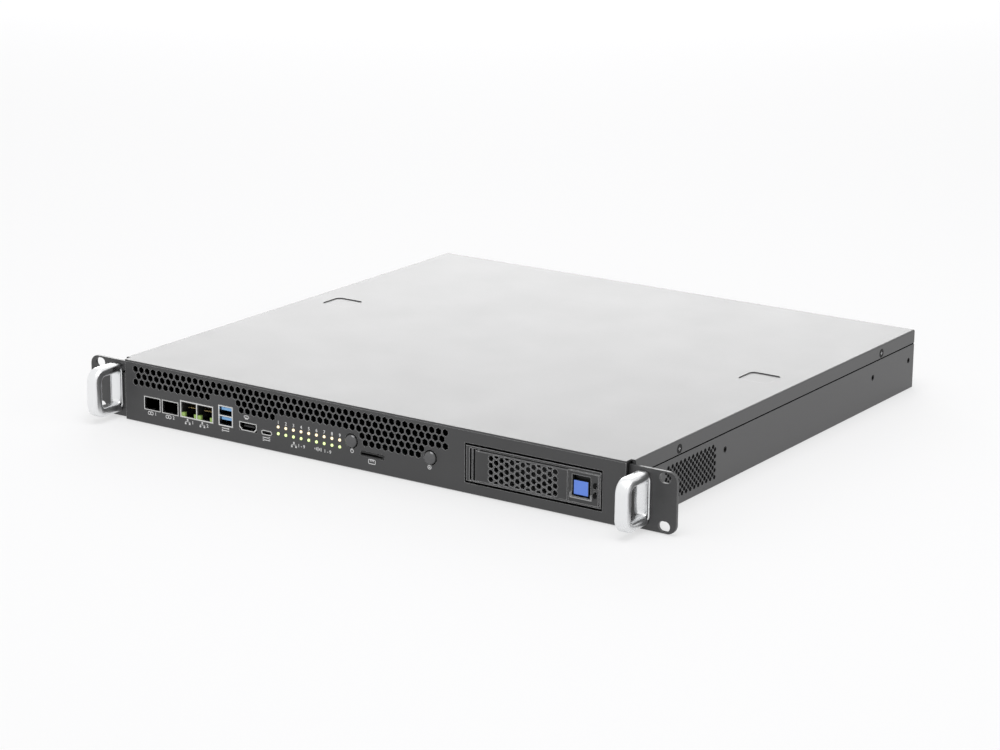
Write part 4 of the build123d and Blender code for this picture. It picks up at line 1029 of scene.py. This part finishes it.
# %% Black strips of painted shade in both seams
SEAM = 1.1 * MM                # height of the gap
STEP = 1.3 * MM                # the wall below the flange lies this far inside
STRIP = 1.15 * MM              # how far the strip fills that step
STRIP_EDGE = 0.12 * MM
STRIP_SUNK = 0.02 * MM
cover_low, cover_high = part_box("top_cover")
for side, name in ((1, "seam_strip_right"), (-1, "seam_strip_left")):
    wall = side * (cover_high.x - STEP)
    edges = sorted((wall - side * STRIP_SUNK, wall + side * STRIP))
    strip = add_block(
        (edges[0], cover_low.y + SEAM, cover_low.z - SEAM),
        (edges[1], cover_high.y - STRIP / 4, cover_low.z),
    )
    hand_over(round_edges(strip, STRIP_EDGE, 2), name, "case", SEAM_SHADE)
    print(name, "faces:", len(strip.data.polygons))

# %% [markdown]
# ## Contacts of the network jack
# Eight sprung wires slope down into each mouth. A wire is a short square bar whose front face is
# extruded along the slope, and it is copied across the mouth.

# %% Sprung wires
WIRE = 0.45 * MM
WIRE_PITCH = 1.02 * MM
WIRES = 8
WIRE_ROOT = 12.5 * MM          # behind the panel's face
WIRE_DROP = 1.6 * MM           # below the roof of the insert
ROOT_HALF = 0.5 * MM
STRAIGHT = (0, -2.0 * MM, 0)
SLOPE = (0, -6.0 * MM, -3.2 * MM)


def front_face_out(piece, move):
    """Extrudes the face of a piece that looks to the front."""
    clear_selection()
    piece.select_set(True)
    bpy.context.view_layer.objects.active = piece
    bpy.ops.object.mode_set(mode="EDIT")
    bpy.ops.mesh.select_mode(type="FACE")
    bpy.ops.mesh.select_all(action="DESELECT")
    bpy.ops.object.mode_set(mode="OBJECT")
    nearest = min(polygon.center.y for polygon in piece.data.polygons)
    for polygon in piece.data.polygons:
        polygon.select = polygon.center.y < nearest + 0.01 * MM
    bpy.ops.object.mode_set(mode="EDIT")
    bpy.ops.mesh.extrude_region_move(TRANSFORM_OT_translate={"value": move})
    bpy.ops.object.mode_set(mode="OBJECT")
    return piece


low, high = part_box("lan_jack_insert")
jack_middle, mouth_middle = (low.x + high.x) / 2, (high.x - low.x) / 4
wires = []
for side in (-1, 1):
    first = jack_middle + side * mouth_middle - (WIRES - 1) / 2 * WIRE_PITCH
    root = Vector((first, FRONT + WIRE_ROOT, high.z - WIRE_DROP))
    reach = Vector((WIRE / 2, ROOT_HALF, WIRE / 2))
    wire = front_face_out(front_face_out(add_block(root - reach, root + reach), STRAIGHT), SLOPE)
    wires += [wire] + [copy_at(wire, (i * WIRE_PITCH, 0, 0)) for i in range(1, WIRES)]
jack_wires = hand_over(join(wires), "jack_contact_wires", "case", GOLD)
print("wire faces:", len(jack_wires.data.polygons))

# %% [markdown]
# ## Stage, light and camera
# The floor is pale and plain. A broad lamp hangs over the server, a second stands to its right,
# and a low one behind it draws the sheen on the cover.

# %% Floor and world
FLOOR_SIZE = 14.0
FLOOR_DROP = 0.5 * MM
FLOOR_GLOW = 0.55
SKY_LIGHT = 0.55
clear_selection()
bpy.ops.mesh.primitive_plane_add(size=FLOOR_SIZE, location=(0, 0, -FLOOR_DROP))
floor = settle()
floor.name = "floor"
floor_material, floor_tree, floor_bsdf = new_material("pale_floor")
floor_bsdf.inputs["Base Color"].default_value = (0.88, 0.88, 0.89, 1)
floor_bsdf.inputs["Roughness"].default_value = 0.9
floor_glow = add(floor_tree, "ShaderNodeEmission")
floor_glow.inputs["Color"].default_value = (1, 1, 1, 1)
floor_mix = add(floor_tree, "ShaderNodeMixShader")
floor_mix.inputs["Fac"].default_value = FLOOR_GLOW
floor_tree.links.new(floor_bsdf.outputs["BSDF"], floor_mix.inputs[1])
floor_tree.links.new(floor_glow.outputs["Emission"], floor_mix.inputs[2])
floor_tree.links.new(floor_mix.outputs["Shader"], floor_tree.nodes["Material Output"].inputs["Surface"])
floor.data.materials.append(floor_material)

world = bpy.data.worlds.new("studio")
world.use_nodes = True
bpy.context.scene.world = world
sky = world.node_tree.nodes["Background"]
path = add(world.node_tree, "ShaderNodeLightPath")
seen = calc(world.node_tree, "MAXIMUM", path.outputs["Is Camera Ray"], path.outputs["Is Glossy Ray"])
seen = calc(world.node_tree, "MAXIMUM", seen, path.outputs["Is Transmission Ray"])
brightness = remap(world.node_tree, seen, 0.0, 1.0, SKY_LIGHT, 1.0)
world.node_tree.links.new(brightness, sky.inputs["Strength"])
sky.inputs["Color"].default_value = (1, 1, 1, 1)


def soft_lamp(name, place, target, size, power):
    """A rectangular area lamp aimed at a point."""
    clear_selection()
    bpy.ops.object.light_add(type="AREA", location=place)
    lamp = bpy.context.object
    lamp.name = name
    lamp.data.shape = "RECTANGLE"
    lamp.data.size, lamp.data.size_y = size
    lamp.data.energy = power
    lamp.rotation_euler = (Vector(target) - Vector(place)).to_track_quat("-Z", "Y").to_euler()
    lamp.visible_camera = False
    return lamp


soft_lamp("overhead", (0.2, -0.3, 2.2), (0, 0.15, 0), (1.6, 1.6), 24)
soft_lamp("right_side", (2.2, 0.6, 1.1), (0, 0.2, 0), (1.2, 1.0), 5.5)
soft_lamp("low_back", (-1.9, 2.9, 1.0), (0, 0.2, 0), (2.4, 1.2), 34)

# %% Camera at the photograph's angle
# The camera was found by fitting the case edges and the honeycomb of the photograph.
CAMERA_PLACE = (1.08833, -1.46537, 0.57726)
CAMERA_RIGHT = Vector((0.829496, 0.558448, 0.008564))
CAMERA_UP = Vector((-0.157832, 0.219675, 0.962721))
CAMERA_BACK = Vector((0.535748, -0.799925, 0.270360))
LENS = 102.83
clear_selection()
bpy.ops.object.camera_add(location=CAMERA_PLACE)
camera = bpy.context.object
turn = Matrix((CAMERA_RIGHT, CAMERA_UP, CAMERA_BACK)).transposed().to_4x4()
camera.matrix_world = Matrix.Translation(Vector(CAMERA_PLACE)) @ turn
camera.data.lens = LENS
camera.data.sensor_width = 36.0
camera.data.clip_start = 0.01
bpy.context.scene.camera = camera
bpy.context.scene.view_settings.view_transform = "Standard"
